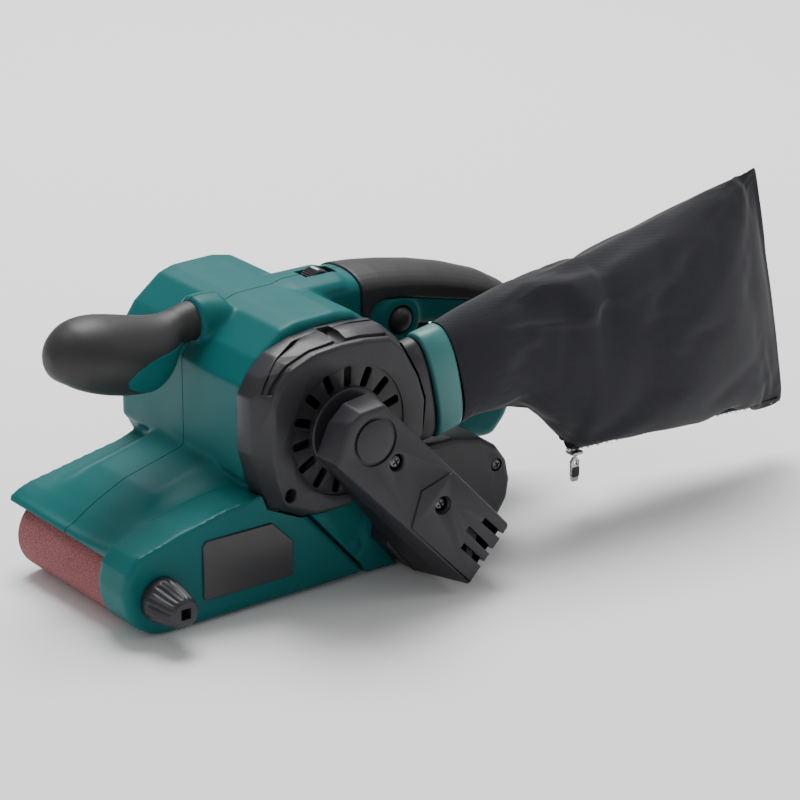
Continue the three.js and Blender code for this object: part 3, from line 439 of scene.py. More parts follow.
grip_infl = tube_x([(x - (0.5 if i == 0 else 0), z, a + 0.25, b + 0.25) for i, (x, z, a, b) in enumerate(NECK)], 64, 90, "t")
cut(body,
    prism([(-110, -5), (-110, 33.4), (-94.6, 33.4), (-90, 37.2), (-82.5, 39.4), (-60, 41.2), (-36, 43.2), (-34, 40), (-30, 30), (-30, -5)], -38.8, 60), prism(BELT_SPACE, -38.9, 60), cylY(MOTOR, 34.6, -47.5, 47.5, 96), fan_infl, grip_infl,
    prism(offset(SKIRT2, 0.35), -70, -38.9), prism(offset(GEARCASE, 0.35), -70, -38.9),
    prism(inset(SKIRT, -3), -58.6, -38.5),
    boxm(40, 66, -10, 10, 94, 114), cylY((43, 125.6), 10.4, -5, 5, 64), boxm(40, 46, -5, 5, 110, 122),
    boxm(80, 112, -8.6, 8.6, 86, 118), cylY((79, 104.6), 7.4, -24, -8.5, 48), cylY(MOTOR, 11.2, 46, 52, 48), cylY(MOTOR, 11.2, -52, -46, 48),
    cylY(KNOB, 4, -70, -30, 32), prism(offset(BARREL, -2.2), 50.1, 60))
OVER_V = [(57.2, 137), (66, 136), (84, 133), (102, 129), (120, 123), (138.8, 115), (149.5, 109), (155, 99.5), (141, 101.4), (127.4, 103.9), (116.4, 106.7), (98.2, 111.1), (80.4, 115.3), (70.4, 116.4), (65.4, 115), (62.2, 110), (60.8, 103), (57.2, 100)]
HV = F(HANDLE, 9, 4)
over_space = cut(prism(offset(OVER_V, 0.35), -22, 22),
    sections([(offset(HV, -8.6), -14.9), (offset(HV, -5.6), -11.4), (offset(HV, -3.9), -6.4), (offset(HV, -3.3), 0), (offset(HV, -3.9), 6.4), (offset(HV, -5.6), 11.4), (offset(HV, -8.6), 14.9)], "t"))
cut(body, over_space)
far = body.copy(); far.data = body.data.copy(); COL.objects.link(far)
cut(body, boxm(-200, 200, -GAP, 90, -20, 200)); cut(far, boxm(-200, 200, -90, GAP, -20, 200))
place(body, "teal_housing_near", TEAL, "root", "teal_plastic", "housing_near", "side_skirt_front", ang=40)
place(far, "teal_housing_far", TEAL, "root", "teal_plastic", "housing_far", ang=40)
skirt2 = sections([(offset(SKIRT2, -1.6), -61.2), (offset(SKIRT2, -0.4), -60.6), (SKIRT2, -59.4), (SKIRT2, -39.2)], "t")
cut(skirt2, prism(inset(SKIRT2, -2.4), -58.8, -30), sections([(offset(FAN_FACE, 0.5), -73), (offset(FAN_BASE, 0.4), -61), (offset(FAN_BASE, 0.4), -49.7)], "t"))
cut(skirt2, cut(cylY((21.4, 17.4), 4.2, -62.5, -60.9, 48), cylY((21.4, 17.4), 3.0, -63, -60, 48)))
place(bevel(clean(skirt2), 0.5, 2), "teal_skirt_rear", TEAL, "root", "teal_plastic", "side_skirt_rear")

# ------------------------------------------------------------------ grips
grip = tube_x(NECK, 96, 150, "grip")
LENS = fillet(ccw([(-73.4, 106.8), (-69, 111.4), (-62.5, 113.9), (-54, 115.3), (-44, 115.6), (-36, 116.4), (-36, 88), (-54, 88), (-56.5, 95.5), (-64, 98.4), (-70.5, 102)]), 2.4, 4)
lens_all = tube_x([(x, z, a + 0.22, b + 0.22) for x, z, a, b in NECK], 96, 150, "lens")
boolean(lens_all, prism(LENS, -30, 30), "INTERSECT")
cut(lens_all, tube_x([(x, z, max(0.5, a - 2.6), max(0.5, b - 2.6)) for x, z, a, b in NECK], 64, 100, "t"), boxm(-200, 0, -2.0, 2.0, 0, 200))
lens_cut = tube_x([(x, z, a + 3, b + 3) for x, z, a, b in NECK], 48, 80, "t")
boolean(lens_cut, prism(offset(LENS, 0.15), -30, 30), "INTERSECT")
cut(lens_cut, tube_x([(x, z, max(0.4, a - 2.8), max(0.4, b - 2.8)) for x, z, a, b in NECK], 64, 100, "t"), boxm(-200, 0, -1.85, 1.85, 0, 200))
cut(grip, lens_cut)
place(bevel(clean(lens_all), 0.3, 2, 40), "teal_grip_inlay", TEAL, "root", "teal_plastic", ang=45)
place(clean(grip), "grip_front_soft", RUBBER, "root", "black_rubber", "front_grip", ang=45)
OVER_V = [(57.2, 137), (66, 136), (84, 133), (102, 129), (120, 123), (138.8, 115), (149.5, 109), (155, 99.5), (141, 101.4), (127.4, 103.9), (116.4, 106.7), (98.2, 111.1), (80.4, 115.3), (70.4, 116.4), (65.4, 115), (62.2, 110), (60.8, 103), (57.2, 100)]
over = prism(OVER_V, -20, 20)
boolean(over, sections([(offset(HV, -7.2), -18.6), (offset(HV, -4.7), -17.4), (offset(HV, -2.9), -15.2), (offset(HV, -1.3), -12), (offset(HV, -0.2), -8.4), (offset(HV, 0.5), -4.4), (offset(HV, 0.7), 0), (offset(HV, 0.5), 4.4), (offset(HV, -0.2), 8.4), (offset(HV, -1.3), 12), (offset(HV, -2.9), 15.2), (offset(HV, -4.7), 17.4), (offset(HV, -7.2), 18.6)], "t"), "INTERSECT")
cut(over, sections([(offset(HV, -8.2), -15.2), (offset(HV, -5.2), -11.7), (offset(HV, -3.5), -6.6), (offset(HV, -2.9), 0), (offset(HV, -3.5), 6.6), (offset(HV, -5.2), 11.7), (offset(HV, -8.2), 15.2)], "t"), cylY((79, 104.6), 8, -25, -8, 40))
remesh(over, 0.7, 7, 0.5)
place(over, "grip_rear_soft", RUBBER, "root", "black_rubber", "handle_grip", ang=60)

# ------------------------------------------------------------------ fan housing, duct, collar
FACE2 = [(-31, 75), (-31, 101.5), (-27.8, 109.0), (-20.5, 117.0), (-8, 121.6), (5.8, 122.8), (20, 122.4), (34.6, 120.2), (42.5, 112), (50.2, 98), (54, 86), (53, 70), (46, 56), (30, 46.5), (4.1, 43.7), (-8, 44.2), (-24, 51.6), (-28, 63)]
BASE2 = [(-36, 75), (-36, 102.8), (-30.8, 111.4), (-21.6, 119.4), (-8.4, 124.0), (6, 125.6), (21, 125.4), (36.8, 123.8), (46.5, 114.8), (54.8, 100), (59, 86.5), (58, 69), (49.8, 52.6), (32, 41.8), (4.3, 38.7), (-9, 39.2), (-27, 47.6), (-32.6, 61)]
fan_a, fan_b = F(FACE2, 4.5, 4), F(BASE2, 4.5, 4)
def fs(t, y, d=0.0):
    return (offset([(p[0] + (q[0] - p[0]) * t, p[1] + (q[1] - p[1]) * t) for p, q in zip(fan_a, fan_b)], d), y)
ff = fan_a
fan = sections([fs(0, -72, -1.7), fs(0, -71.85, -0.8), fs(0, -71.4, -0.15), fs(0.06, -70.6, 0.1), fs(0.7, -62.4), fs(0.86, -61.2), fs(0.96, -59.6), fs(1, -50.3)], "fan")
cut(fan, cylY(MOTOR, 33.4, -69.4, -49, 96), cylY(MOTOR, 7, -80, -60, 48), boxm(-40, 70, -39, -30, 0, 200),
    sections([(circle((-22, 56.6), 3.9, 40), -72.4), (circle((-22, 56.6), 3.2, 40), -71.4), (circle((-22, 56.6), 3.2, 40), -65.5)], "t"))
UPPER = [(-60, 101.5), (-31.5, 103.5), (36.5, 121.4), (60, 128), (60, 170), (-60, 170)]
# groove along the sloping top, a ledge in front of it and a screw pocket
TOPZ = [(-60, 104.5), (-31.5, 105.5), (34.0, 119.4), (38, 126), (38, 170), (-60, 170)]
def rim_groove(t, deep, y0, y1, zone):
    """A groove round the upper edge, deep mm into the wall, between two depths."""
    g = prism(offset(fs(t, 0)[0], 9), y0, y1); cut(g, prism(fs(t, 0, -deep)[0], y0 - 2, y1 + 2)); boolean(g, prism(zone, y0 - 1, y1 + 1), "INTERSECT"); return g
back_groove = rim_groove(0.9, 1.9, -54.9, -53.2, TOPZ)
for v in back_groove.data.vertices:
    v.co.y -= 11 * MM * min(1, max(0, (-4 - v.co.x / MM) / 27))
cut(fan, back_groove, rim_groove(0.1, 0.9, -69.5, -68.4, TOPZ), rim_groove(0.16, 0.7, -68.5, -66.6, TOPZ),
    cylY((9.4, 125.2), 3.7, -68.2, -52.6, 40))
# raised ring and sunk floor round the hub
cut(fan, cut(cylY(MOTOR, 31.6, -74, -71.2, 96), cylY(MOTOR, 19.4, -75, -70, 96)))
for k in range(15):
    a = math.radians(17 + 24 * k); c, s = math.cos(a), math.sin(a); w = 2.1
    if 10 < k < 13:
        continue
    q = [(MOTOR[0] + u * c - v * s, MOTOR[1] + u * s + v * c) for u, v in fillet([(20.5, -w), (30.3, -w), (30.3, w), (20.5, w)], 1.5, 4)]
    cut(fan, prism(q, -75, -66))
hub = sections([(circle(MOTOR, 20.6, 96), -69.8), (circle(MOTOR, 20.6, 96), -73.0), (circle(MOTOR, 20.0, 96), -73.6), (circle(MOTOR, 18.6, 96), -73.9)][::-1], "hub")
cut(hub, cylY(MOTOR, 7, -80, -60, 48))
boolean(fan, hub, "UNION")
cut(fan, loft("t", [stad(-40, 21.6, 6.6), stad(0, 21.6, 6.6)]))
place(bevel(clean(fan), 0.45, 2), "fan_cover", BLACK, "root", "black_plastic", "fan_housing")
duct = loft("duct", [stad(-17, 25.2, 9.8), stad(-16.4, 25.8, 10.3), stad(-2.2, 26, 10.5), stad(-1.3, 25.4, 10), stad(-1.0, 23.8, 8.8), stad(0, 23.6, 8.6), stad(12.2, 23.3, 8.5), stad(13, 22.7, 7.9)])
cut(duct, loft("t", [stad(-30, 21.6, 6.6), stad(20, 21.6, 6.6)]), sections([(offset(FAN_FACE, 0.5), -73), (offset(FAN_BASE, 0.4), -61), (offset(FAN_BASE, 0.4), -49.7)], "t"), prism(offset(BARREL, 0.4), -50.4, 60))
place(bevel(clean(duct), 0.4, 2), "dust_outlet", BLACK, "root", "black_plastic", "dust_duct")
collar = loft("collar", [stad(0, 26.0, 10.9), stad(0.5, 26.8, 11.7), stad(1.4, 27.2, 12.1), stad(12.2, 27.0, 12.1), stad(13.6, 26.6, 11.7), stad(14.4, 25.8, 10.9)])
cut(collar, loft("t", [stad(-1, 24.1, 9.1), stad(16, 24.1, 9.1)]))
place(bevel(clean(collar), 0.35, 2), "bag_neck_ring", TEAL_LIGHT, "bag", "teal_plastic", "bag_collar")

# ------------------------------------------------------------------ drive belt cover
AF = [(7.2, 104.4), (-6, 103.4), (-12.7, 99.4), (-19.9, 81.1), (53.6, 5.1), (54.6, 4.1), (56, 4.9), (78.7, 28.0)]
AB = [(21, 96.2), (8.5, 94.8), (-0.6, 86.3), (-6.8, 71.5), (43.2, 6), (46.6, 2.2), (58, 2.4), (84.4, 31.6)]
rad = [4, 4, 5, 3, 1.2, 1.2, 1.2, 2.2]
AM = [(10.2, 105), (-4.8, 103), (-13, 95.6), (-20, 80.6), (48.6, 5.5), (50.8, 3.2), (57, 3.7), (81.4, 29.7)]
af, ab, am = fillet(AF, rad, 5), fillet(AB, rad, 5), fillet(AM, rad, 5)
def lerp(t, d=0.0):
    m = [(a[0] + (b[0] - a[0]) * t, a[1] + (b[1] - a[1]) * t) for a, b in zip(af, ab)]
    return offset(m, d)
arm = sections([(lerp(0, -1.5), -105), (lerp(0, -0.5), -104.8), (lerp(0, 0), -104.1), (am, -89), (lerp(1), -72.4)], "arm")
cut(arm, sections([(lerp(0, -2.4), -102.6), (offset(am, -2.3), -89), (lerp(1, -2.2), -72.0)], "t"))
FOOT = [(30, 19.5), (43.2, 6), (46.6, 2.2), (58, 2.4), (84.4, 31.6), (66, 51), (52, 50), (32, 38)]
foot = prism(F(FOOT, 2, 4), -74.4, -61.9)
cut(foot, prism(inset(FOOT, -2), -80, -60), sections([(offset(FAN_FACE, 0.5), -73), (offset(FAN_BASE, 0.4), -61), (offset(FAN_BASE, 0.4), -49.7)], "t"))
boolean(arm, foot, "UNION")
plate = prism(lerp(0, -1.7), -105.9, -103.6); boolean(plate, prism(ccw([(21.2, 41.2), (26.8, 58.0), (45.0, 63.3), (60, 66), (100, 40), (80, -10), (40, -20), (10, 20)]), -108, -102), "INTERSECT")
boolean(arm, plate, "UNION")
for a, b in [((62.3, 34.9), (74.7, 22.6)), ((53.0, 33.2), (67.7, 17.3)), ((50.1, 25.4), (63.1, 12.0))]:
    dx, dz = b[0] - a[0], b[1] - a[1]; L = math.hypot(dx, dz); n = (-dz / L * 1.5, dx / L * 1.5); e = (dx / L * 10, dz / L * 10)
    cut(arm, prism([(a[0] + n[0], a[1] + n[1]), (a[0] - n[0], a[1] - n[1]), (b[0] - n[0] + e[0], b[1] - n[1] + e[1]), (b[0] + n[0] + e[0], b[1] + n[1] + e[1])], -108, -96))
SCREWS = [(13.5, 75), (38.8, 48.2)]
for c in SCREWS:
    cut(arm, sections([(circle(c, 4.6, 40), -107), (circle(c, 4.6, 40), -105.2), (circle(c, 3.9, 40), -104.2), (circle(c, 3.9, 40), -98)], "t"))
ring = cut(cylY((1.3, 88.1), 11.8, -106, -103.9, 72), cylY((1.3, 88.1), 10.1, -107, -103, 72))
cut(arm, ring)
place(bevel(clean(arm), 0.35, 2), "belt_cover", BLACK2, "root", "black_plastic", "drive_belt_cover")

# ------------------------------------------------------------------ gear case
gf = F(GEARCASE, 4, 4)
case = sections([(offset(gf, -3.2), -61), (offset(gf, -1.8), -60.7), (offset(gf, -0.6), -59.6), (gf, -57.8), (gf, -39.2)], "case")
cut(case, prism(inset(GEARCASE, -3), -58.8, -30), cylY(LAY, 5, -80, -30, 40), sections([(offset(FAN_FACE, 0.5), -73), (offset(FAN_BASE, 0.4), -61), (offset(FAN_BASE, 0.4), -49.7)], "t"), cylY((105, 37.5), 3.3, -70, -57, 32))
place(bevel(clean(case), 0.4, 2), "gear_cover", BLACK, "root", "black_plastic", "gear_case_cover")

# ------------------------------------------------------------------ far end cap
cp = F(offset(BARREL, -2.6), 3, 4)
cap = sections([(cp, 50.3), (offset(cp, -0.3), 52.6), (offset(cp, -1.2), 54.4), (offset(cp, -3), 55.4)], "cap")
cut(cap, cylY(MOTOR, 30, 50, 53, 72))
for k in range(-3, 4):
    cut(cap, prism(fillet([(10 + k * 8 - 1.6, 61.5), (10 + k * 8 + 1.6, 61.5), (10 + k * 8 + 1.6, 101.5), (10 + k * 8 - 1.6, 101.5)], 1.5, 4), 50, 57))
place(bevel(clean(cap), 0.35, 2), "end_cover_far", BLACK, "root", "black_plastic", "end_cap_far")

# ------------------------------------------------------------------ label plate
LABEL = [(-63, 12), (-16, 12), (-14.6, 13.4), (-14.6, 29.4), (-26, 41), (-62, 41), (-64, 39), (-64, 13.4)]
lb = F(LABEL, 1.6, 5)
lab = sections([(offset(lb, -0.9), -62.7), (offset(lb, -0.35), -62.6), (lb, -62.2), (lb, -61.8)], "label")
place(lab, "plain_label", LABELM, "root", "label", "label_plate")

# ------------------------------------------------------------------ sanding belt
def loop(c1, r1, c2, r2, n):
    p = belt2(c1, r1, c2, r2, 720); return resample(p, n)
bo, bi = loop(IDLER, RF, DRUM, RR, 360), loop(IDLER, RF - 1, DRUM, RR - 1, 360)
n = len(bo)
def closest(p, q):
    q = np.array(q); return [tuple(q[np.argmin(((q - np.array(s)) ** 2).sum(1))]) for s in p]
bi = []
ob2 = offset(bo, -1.0)
V, Fc = [], []
for y in (-HALF, -HALF + 0.3, HALF - 0.3, HALF):
    d = 0.25 if abs(y) == HALF else 0
    V += [(p[0], y, p[1]) for p in offset(bo, -d)]
for y in (HALF, -HALF):
    V += [(p[0], y, p[1]) for p in ob2]
R = 6
for k in range(R):
    for i in range(n):
        j = (i + 1) % n
        Fc.append((k * n + i, k * n + j, ((k + 1) % R) * n + j, ((k + 1) % R) * n + i))
belt = add_mesh("belt", V, Fc)
belt.data.materials.append(GRIT); belt.data.materials.append(BACKING)
place(belt, "abrasive_belt", GRIT, "root", "abrasive", "sanding_belt")
belt.data.materials.append(BACKING)
for p in belt.data.polygons:
    k = p.index // n
    if k in (3, 4, 5):
        p.material_index = 1

# ------------------------------------------------------------------ dust bag: a sewn cloth shell that is puffed up by a little pressure
BAG = [((69.7, 116.6), (80.8, 64.6), 11.6), ((71.4, 117.7), (82.4, 64.6), 12.4), ((88, 122.6), (92, 66.4), 14.5), ((112, 127.2), (112, 64.6), 18), ((134, 131.2), (133, 55.8), 20.5), ((150, 134.2), (147.2, 42.6), 22), ((160, 135.2), (157, 32.4), 22.5), ((184, 140.2), (184, 31.2), 23.5), ((210, 145.4), (212, 29.9), 23.5), ((236, 151.0), (245, 28.8), 18.5), ((250, 153.8), (268, 28.0), 14), ((258.5, 155.3), (283, 28.5), 8.5), ((263, 156.2), (291.5, 30.2), 1.8)]
def bag_rings(m=62, n=96):
    """Rings of the sack. Round the collar the section is an oval, and further back a lens that ends in a sewn edge above and below."""
    rows = spline([[a[0], a[1], b[0], b[1], h] for a, b, h in BAG], m)
    rings = []
    for k, (tx, tz, bx, bz, h) in enumerate(rows):
        f = min(1, k / 22)
        L = math.hypot(tx - bx, tz - bz); cx, cz = (tx + bx) / 2, (tz + bz) / 2
        ux, uz = (tx - bx) / L, (tz - bz) / L
        r = []
        for i in range(n):
            t = 2 * math.pi * i / n; c, s = math.cos(t), math.sin(t)
            e = 2.5 - 0.5 * f
            v = L / 2 * math.copysign(abs(s) ** (2 / e), s)
            lens = math.copysign(abs(c) ** (0.9 + 0.45 * f), c)
            r.append((cx + ux * v, DUCT_Y + h * lens, cz + uz * v))
        rings.append(r)
    return rings
bag = loft("bag", bag_rings())
rest = np.array([v.co for v in bag.data.vertices], float)
g = bag.vertex_groups.new(name="pin")
for v in bag.data.vertices:
    x, z = v.co.x / MM, v.co.z / MM
    if x < 86 + 0.12 * (z - 90):
        g.add([v.index], 1.0, "REPLACE")
    elif x < 100:
        g.add([v.index], 0.4, "REPLACE")
random.seed(7)
cl = bag.modifiers.new("cloth", "CLOTH"); s = cl.settings
s.quality = 6; s.mass = 0.25; s.tension_stiffness = 18; s.compression_stiffness = 4; s.shear_stiffness = 3; s.bending_stiffness = 0.12
s.use_pressure = True; s.uniform_pressure_force = 2.2; s.vertex_group_mass = "pin"; s.effector_weights.gravity = 0.0
s.shrink_min = -0.035
cl.point_cache.frame_start, cl.point_cache.frame_end = 1, 20
sc = bpy.context.scene
for fr in range(1, 21):
    sc.frame_set(fr); bpy.context.view_layer.update()
dg = bpy.context.evaluated_depsgraph_get()
sim = bpy.data.meshes.new_from_object(bag.evaluated_get(dg))
bag.modifiers.clear(); sc.frame_set(1)
co = np.array([v.co for v in sim.vertices], float)
d = co - rest; ln = np.linalg.norm(d, axis=1, keepdims=True)
d *= np.minimum(1, 0.0026 / np.maximum(ln, 1e-9))
co = rest + d
def crease(x, z, x0, z0, x1, z1, w):
    """How near a point is to a fold line: 1 on it, 0 away from it."""
    vx, vz = x1 - x0, z1 - z0; t = np.clip(((x - x0) * vx + (z - z0) * vz) / (vx * vx + vz * vz), 0, 1)
    dd = np.hypot(x - x0 - t * vx, z - z0 - t * vz)
    return np.exp(-(dd / w) ** 2) * np.sin(np.pi * np.clip(t, 0.04, 0.96)) ** 0.5
x, y, z = co[:, 0] / MM, co[:, 1] / MM, co[:, 2] / MM
side = np.sign(y - DUCT_Y)
depth = (1.7 * crease(x, z, 136, 118, 132, 74, 3.0) + 1.1 * crease(x, z, 158, 132, 163, 92, 3.2) - 0.9 * crease(x, z, 147, 124, 150, 66, 5)
         + 1.5 * crease(x, z, 106, 84, 128, 62, 4) + 1.6 * crease(x, z, 196, 138, 186, 96, 4) - 1.1 * crease(x, z, 176, 118, 168, 58, 7)
         + 1.6 * crease(x, z, 262, 60, 226, 44, 5) + 1.2 * crease(x, z, 116, 122, 104, 92, 4) + 1.0 * crease(x, z, 236, 140, 222, 104, 5))
for i in range(len(co)):
    nz = noise.noise(Vector((x[i] / 34, y[i] / 40, z[i] / 52))) * 1.1 + noise.noise(Vector((x[i] / 13 + 4, y[i] / 18, z[i] / 26))) * 0.45
    k = min(1.0, max(0.0, (x[i] - 84) / 26))
    co[i, 1] += side[i] * (nz * k - 0.6 * depth[i] * k * min(1, abs(y[i] - DUCT_Y) / 9)) * MM
sim.vertices.foreach_set("co", co.astype(np.float32).ravel()); sim.update()
old = bag.data; bag.data = sim
m = bag.modifiers.new("ss", "SUBSURF"); m.levels = m.render_levels = 1
bake_mods(bag)
# the mouth is open, and the cloth has its thickness
bb = bmesh.new(); bb.from_mesh(bag.data); bb.faces.ensure_lookup_table()
bmesh.ops.delete(bb, geom=[f for f in bb.faces if abs(f.normal.x * U[0] + f.normal.z * U[1]) > 0.8 and f.calc_center_median().x < 0.079], context="FACES")
bb.to_mesh(bag.data); bb.free()
m = bag.modifiers.new("thick", "SOLIDIFY"); m.thickness = 0.0006; m.offset = -1
bake_mods(bag)
bag = place(bag, "dust_sack", CLOTH, "bag", "bag_cloth", "dust_bag", ang=0)

# a helper that sweeps a tube along a path, then the zip band and its teeth along the sack's lower edge
def sweep(path, r, name, n=10, closed=False, flat=1.0, up=(0, 1, 0)):
    P = [Vector(p) for p in path]; rings = []; m = len(P)
    for i, p in enumerate(P):
        a, b = (P[(i - 1) % m], P[(i + 1) % m]) if closed else (P[max(0, i - 1)], P[min(m - 1, i + 1)])
        t = (b - a).normalized(); u = Vector(up); u = (u - t * u.dot(t)).normalized(); w = t.cross(u)
        rings.append([tuple(p + u * (r * math.cos(2 * math.pi * k / n)) + w * (r * flat * math.sin(2 * math.pi * k / n))) for k in range(n)])
    if not closed:
        return loft(name, rings)
    V = [q for rg in rings for q in rg]; Fs = []
    for k in range(m):
        for i in range(n):
            j = (i + 1) % n; k2 = (k + 1) % m
            Fs.append((k * n + i, k * n + j, k2 * n + j, k2 * n + i))
    return add_mesh(name, V, Fs)
BV = np.array([v.co for v in bag.data.vertices], float) / MM
zt = []
for x in np.arange(150, 286, 3.0):
    near = BV[(abs(BV[:, 0] - x) < 2.2) & (BV[:, 2] < 60)]; low = near[near[:, 2].argmin()]
    zt.append((float(x), float(low[1]), float(low[2])))
zt = np.array(zt)
for _ in range(3):
    zt[1:-1, 1:] = (zt[:-2, 1:] + 2 * zt[1:-1, 1:] + zt[2:, 1:]) / 4
# the slider runs on a straight line, so the band never hangs below that line
zt[:, 2] = np.maximum(zt[:, 2], float(np.interp(154, zt[:, 0], zt[:, 2])) - 0.045 * (zt[:, 0] - 154) + 0.4 * np.clip((zt[:, 0] - 160) / 20, 0, 1))
zt = [tuple(map(float, q)) for q in zt]
tape = []
for x, yy, z in zt:
    tape.append([(x, yy - 3.6, z + 1.6), (x, yy - 2.2, z - 0.2), (x, yy - 1.2, z - 0.7), (x, yy + 1.2, z - 0.7), (x, yy + 2.2, z - 0.2), (x, yy + 3.6, z + 1.6), (x, yy + 2.6, z + 2.4), (x, yy - 2.6, z + 2.4)])
tp = loft("tape", tape)
teeth = []
k = 0
for (xa, ya, za), (xb, yb, zb) in zip(zt, zt[1:]):
    L = math.hypot(xb - xa, zb - za); q = max(1, int(L / 1.9))
    for i in range(q):
        t = i / q; px, pz = xa + (xb - xa) * t, za + (zb - za) * t; sd = 1 if k % 2 else -1; k += 1
        py = ya + (yb - ya) * t; bb = boxm(px - 0.55, px + 0.55, py - 1.3 + 0.45 * sd, py + 1.3 + 0.45 * sd, pz - 1.5, pz - 0.3); teeth.append(bb)
th = bevel(join_all(teeth, "teeth"), 0.2, 1)
place(tp, "zip_band", ZIPTAPE, "bag", "bag_cloth", ang=50); place(th, "zip_teeth", ZINC, "bag", "zinc", ang=30)

# zip slider and pull
sl = bevel(boxm(150.6, 157.4, DUCT_Y - 3.2, DUCT_Y + 3.2, 31.2, 32.9), 0.7, 3)
lug = bevel(prism([(152.5, 31.4), (153.2, 29.8), (155.2, 29.8), (155.9, 31.4)], DUCT_Y - 1, DUCT_Y + 1), 0.3, 2)
place(join_all([sl, lug], "slider"), "zip_runner", ZINC, "zip_slider", "zinc", "zip_slider")
pl = prism(fillet([(152.2, 16.8), (156.2, 16.8), (156.8, 27.4), (155.1, 29.3), (153.3, 29.3), (151.6, 27.4)], 0.7, 4), DUCT_Y - 0.8, DUCT_Y + 0.8)
cut(pl, prism(fillet([(153.2, 25.2), (155.2, 25.2), (155.2, 27.8), (153.2, 27.8)], 0.6, 3), DUCT_Y - 2, DUCT_Y + 2))
place(bevel(clean(pl), 0.3, 2), "zip_tag", ZINC, "zip_pull", "zinc", "zip_pull")
wrap = prism(fillet([(152, 19), (156.6, 19), (156.6, 24.4), (152, 24.4)], 1, 4), DUCT_Y - 1.15, DUCT_Y + 1.15)
place(bevel(wrap, 0.35, 2), "zip_tag_wrap", BLACK, "zip_pull", "black_plastic")

# ------------------------------------------------------------------ knob, screws, controls
kr = []
N = 120
for y, r in [(-83, 5.4), (-82.7, 6.3), (-81.9, 7.0), (-80.8, 7.5), (-72, 9.2), (-67.4, 10.0), (-66.8, 10.5), (-64.0, 10.7), (-62.4, 10.6), (-62, 10.2)]:
    amp = 0.42 if -81.5 < y < -67 else 0.0
    kr.append([(KNOB[0] + (r + amp * math.cos(20 * 2 * math.pi * i / N)) * math.cos(2 * math.pi * i / N), y, KNOB[1] + (r + amp * math.cos(20 * 2 * math.pi * i / N)) * math.sin(2 * math.pi * i / N)) for i in range(N)])
knob = loft("knob", kr)
cut(knob, prism([(-89.6, 16.9), (-84.4, 16.9), (-84.4, 22.1), (-89.6, 22.1)], -84, -77))
boolean(knob, cylY(KNOB, 3, -62.4, -40.4, 32), "UNION")
place(clean(knob), "tracking_wheel", BLACK, "knob", "black_plastic", "tracking_knob", ang=40)

def screw(c, y, r, L, name, rep, mat, h=1.0):
    s = sections([(circle(c, r * 0.45, 40), y - h), (circle(c, r * 0.78, 40), y - h * 0.8), (circle(c, r, 40), y - h * 0.25), (circle(c, r, 40), y + 0.6), (circle(c, r * 0.55, 40), y + 0.6 + r * 0.3), (circle(c, r * 0.55, 40), y + L)], "s")
    a = 0.5
    for t in (a, a + math.pi / 2):
        u, v = (math.cos(t), math.sin(t)), (-math.sin(t), math.cos(t)); l, w = r * 0.62, r * 0.15
        cut(s, prism([(c[0] + u[0] * l * i + v[0] * w * j, c[1] + u[1] * l * i + v[1] * w * j) for i, j in ((-1, -1), (1, -1), (1, 1), (-1, 1))], y - 3, y - h + 1.1))
    return place(clean(s), name, mat, "root", "steel", rep, ang=30)
screw(SCREWS[0], -102.9, 3.0, 4, "screw_cover_a", "cover_screw_upper", DARKSTEEL)
screw(SCREWS[1], -102.9, 3.0, 4, "screw_cover_b", "cover_screw_lower", DARKSTEEL)
screw((-22, 56.6), -67.0, 2.6, 1.3, "screw_fan", "fan_housing_screw", DARKSTEEL)
screw((105, 37.5), -60.2, 2.7, 5, "screw_case", "gear_case_screw", DARKSTEEL)

TR = [(83, 98), (106, 94.4), (106.6, 88.6), (96, 88.8), (87, 91.4)]
trf = fillet(ccw(TR), 1.8, 4)
trg = sections([(offset(trf, -1.4), -7.4), (offset(trf, -0.4), -6.9), (trf, -5.6), (trf, 5.6), (offset(trf, -0.4), 6.9), (offset(trf, -1.4), 7.4)], "trigger")
place(trg, "trigger_lever", BLACK, "trigger", "black_plastic", "trigger", ang=40)
lk = sections([(circle((79, 104.6), r, 48), y) for r, y in [(1.2, -22.9), (3.0, -22.6), (4.6, -21.8), (5.7, -20.6), (6.3, -19.2), (6.5, -17.6), (6.5, -12.8)]], "lock")
place(lk, "lock_pin", RUBBER, "lock_button", "black_plastic", "lock_button", ang=40)
dn = []
for y, amp, rr in [(-4.4, 0, 6.3), (-3.9, 0.12, 6.9), (-3.2, 0.26, 7.0), (3.2, 0.26, 7.0), (3.9, 0.12, 6.9), (4.4, 0, 6.3)]:
    dn.append([(43 + (rr - amp + amp * math.cos(36 * 2 * math.pi * i / 288)) * math.cos(2 * math.pi * i / 288), y, 125.6 + (rr - amp + amp * math.cos(36 * 2 * math.pi * i / 288)) * math.sin(2 * math.pi * i / 288)) for i in range(288)])
dial = loft("dial", dn)
place(dial, "speed_wheel", BLACK2, "speed_dial", "black_plastic", "speed_dial", ang=40)
WHITE = plastic("white_mark", (225, 226, 226), 0.5, 0.02)
tick = prism([(42.4, 132.0), (43.6, 132.0), (43.6, 132.75), (42.4, 132.75)], -3.0, 3.0)
place(bevel(tick, 0.15, 2), "speed_mark", WHITE, "speed_dial", "label")
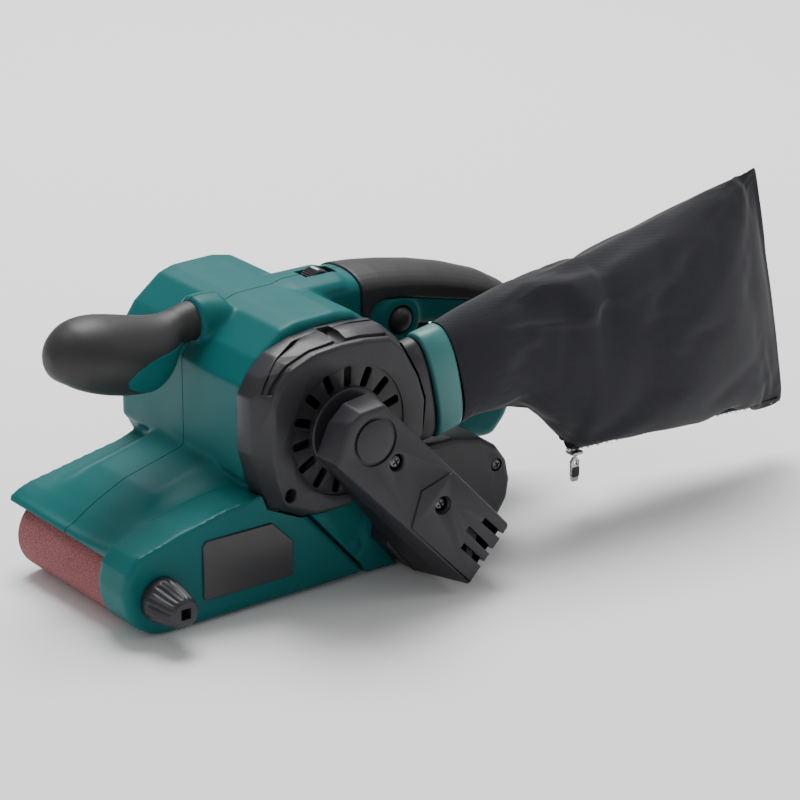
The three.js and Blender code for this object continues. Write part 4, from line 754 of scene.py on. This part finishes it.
gl = tube_x([(157.6, 60, 6.5, 6.5), (168, 60, 6.5, 6.5), (171.6, 60, 6.2, 6.2), (172.2, 60, 5.2, 5.2), (173.6, 60, 5.0, 5.0), (174.2, 60, 5.5, 5.5), (175.2, 60, 5.5, 5.5), (175.8, 60, 4.8, 4.8), (177.4, 60, 4.6, 4.6), (178, 60, 4.3, 4.3)], 48, 90, "gland")
cut(gl, tube_x([(168, 60, 3.2, 3.2), (180, 60, 3.2, 3.2)], 32, 4, "t"))
place(bevel(clean(gl), 0.2, 1), "cable_sleeve", RUBBER, "root", "black_rubber", "cord_gland", ang=40)

# tension spring of the idler yoke
coil = sweep([(-56.2 + 25 * i / 150, 4 * math.cos(math.pi * i / 15), 18.6 + 4 * math.sin(math.pi * i / 15)) for i in range(151)], 0.7, "coil", 10, up=(1, 0, 0))
place(coil, "yoke_spring", STEEL, "root", "steel", "tension_spring", ang=40)
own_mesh(coil)

# ------------------------------------------------------------------ floor, light
fl = add_mesh("floor", [(-6000, -6000, -0.05), (6000, -6000, -0.05), (6000, 6000, -0.05), (-6000, 6000, -0.05)], [(0, 1, 2, 3)])
fm, nt, b = node_mat("floor_pale"); b.inputs["Base Color"].default_value = (0.94, 0.94, 0.94, 1); b.inputs["Roughness"].default_value = 0.9; b.inputs["Specular IOR Level"].default_value = 0.1
fl.data.materials.append(fm)
def light(name, loc, aim, size, power, sy=None):
    L = bpy.data.lights.new(name, "AREA"); L.shape = "RECTANGLE"; L.size = size; L.size_y = sy or size; L.energy = power
    o = bpy.data.objects.new(name, L); o.location = loc
    o.rotation_euler = (Vector(aim) - Vector(loc)).to_track_quat("-Z", "Y").to_euler(); COL.objects.link(o)
    return o
light("key_top", (0.45, 0.7, 2.0), (0.05, 0, 0.05), 1.3, 66)
light("fill_left", (-1.9, -0.7, 0.35), (0, 0, 0.06), 0.9, 4)
light("fill_right", (1.4, -1.2, 1.2), (0.1, -0.05, 0.07), 0.7, 3)
light("rim_back", (0.9, 1.5, 1.3), (0.05, 0, 0.08), 1.0, 4)
w = bpy.data.worlds.new("world"); bpy.context.scene.world = w; w.use_nodes = True
bgn = w.node_tree.nodes["Background"]; bgn.inputs["Color"].default_value = (1, 1, 1, 1); bgn.inputs["Strength"].default_value = 0.46
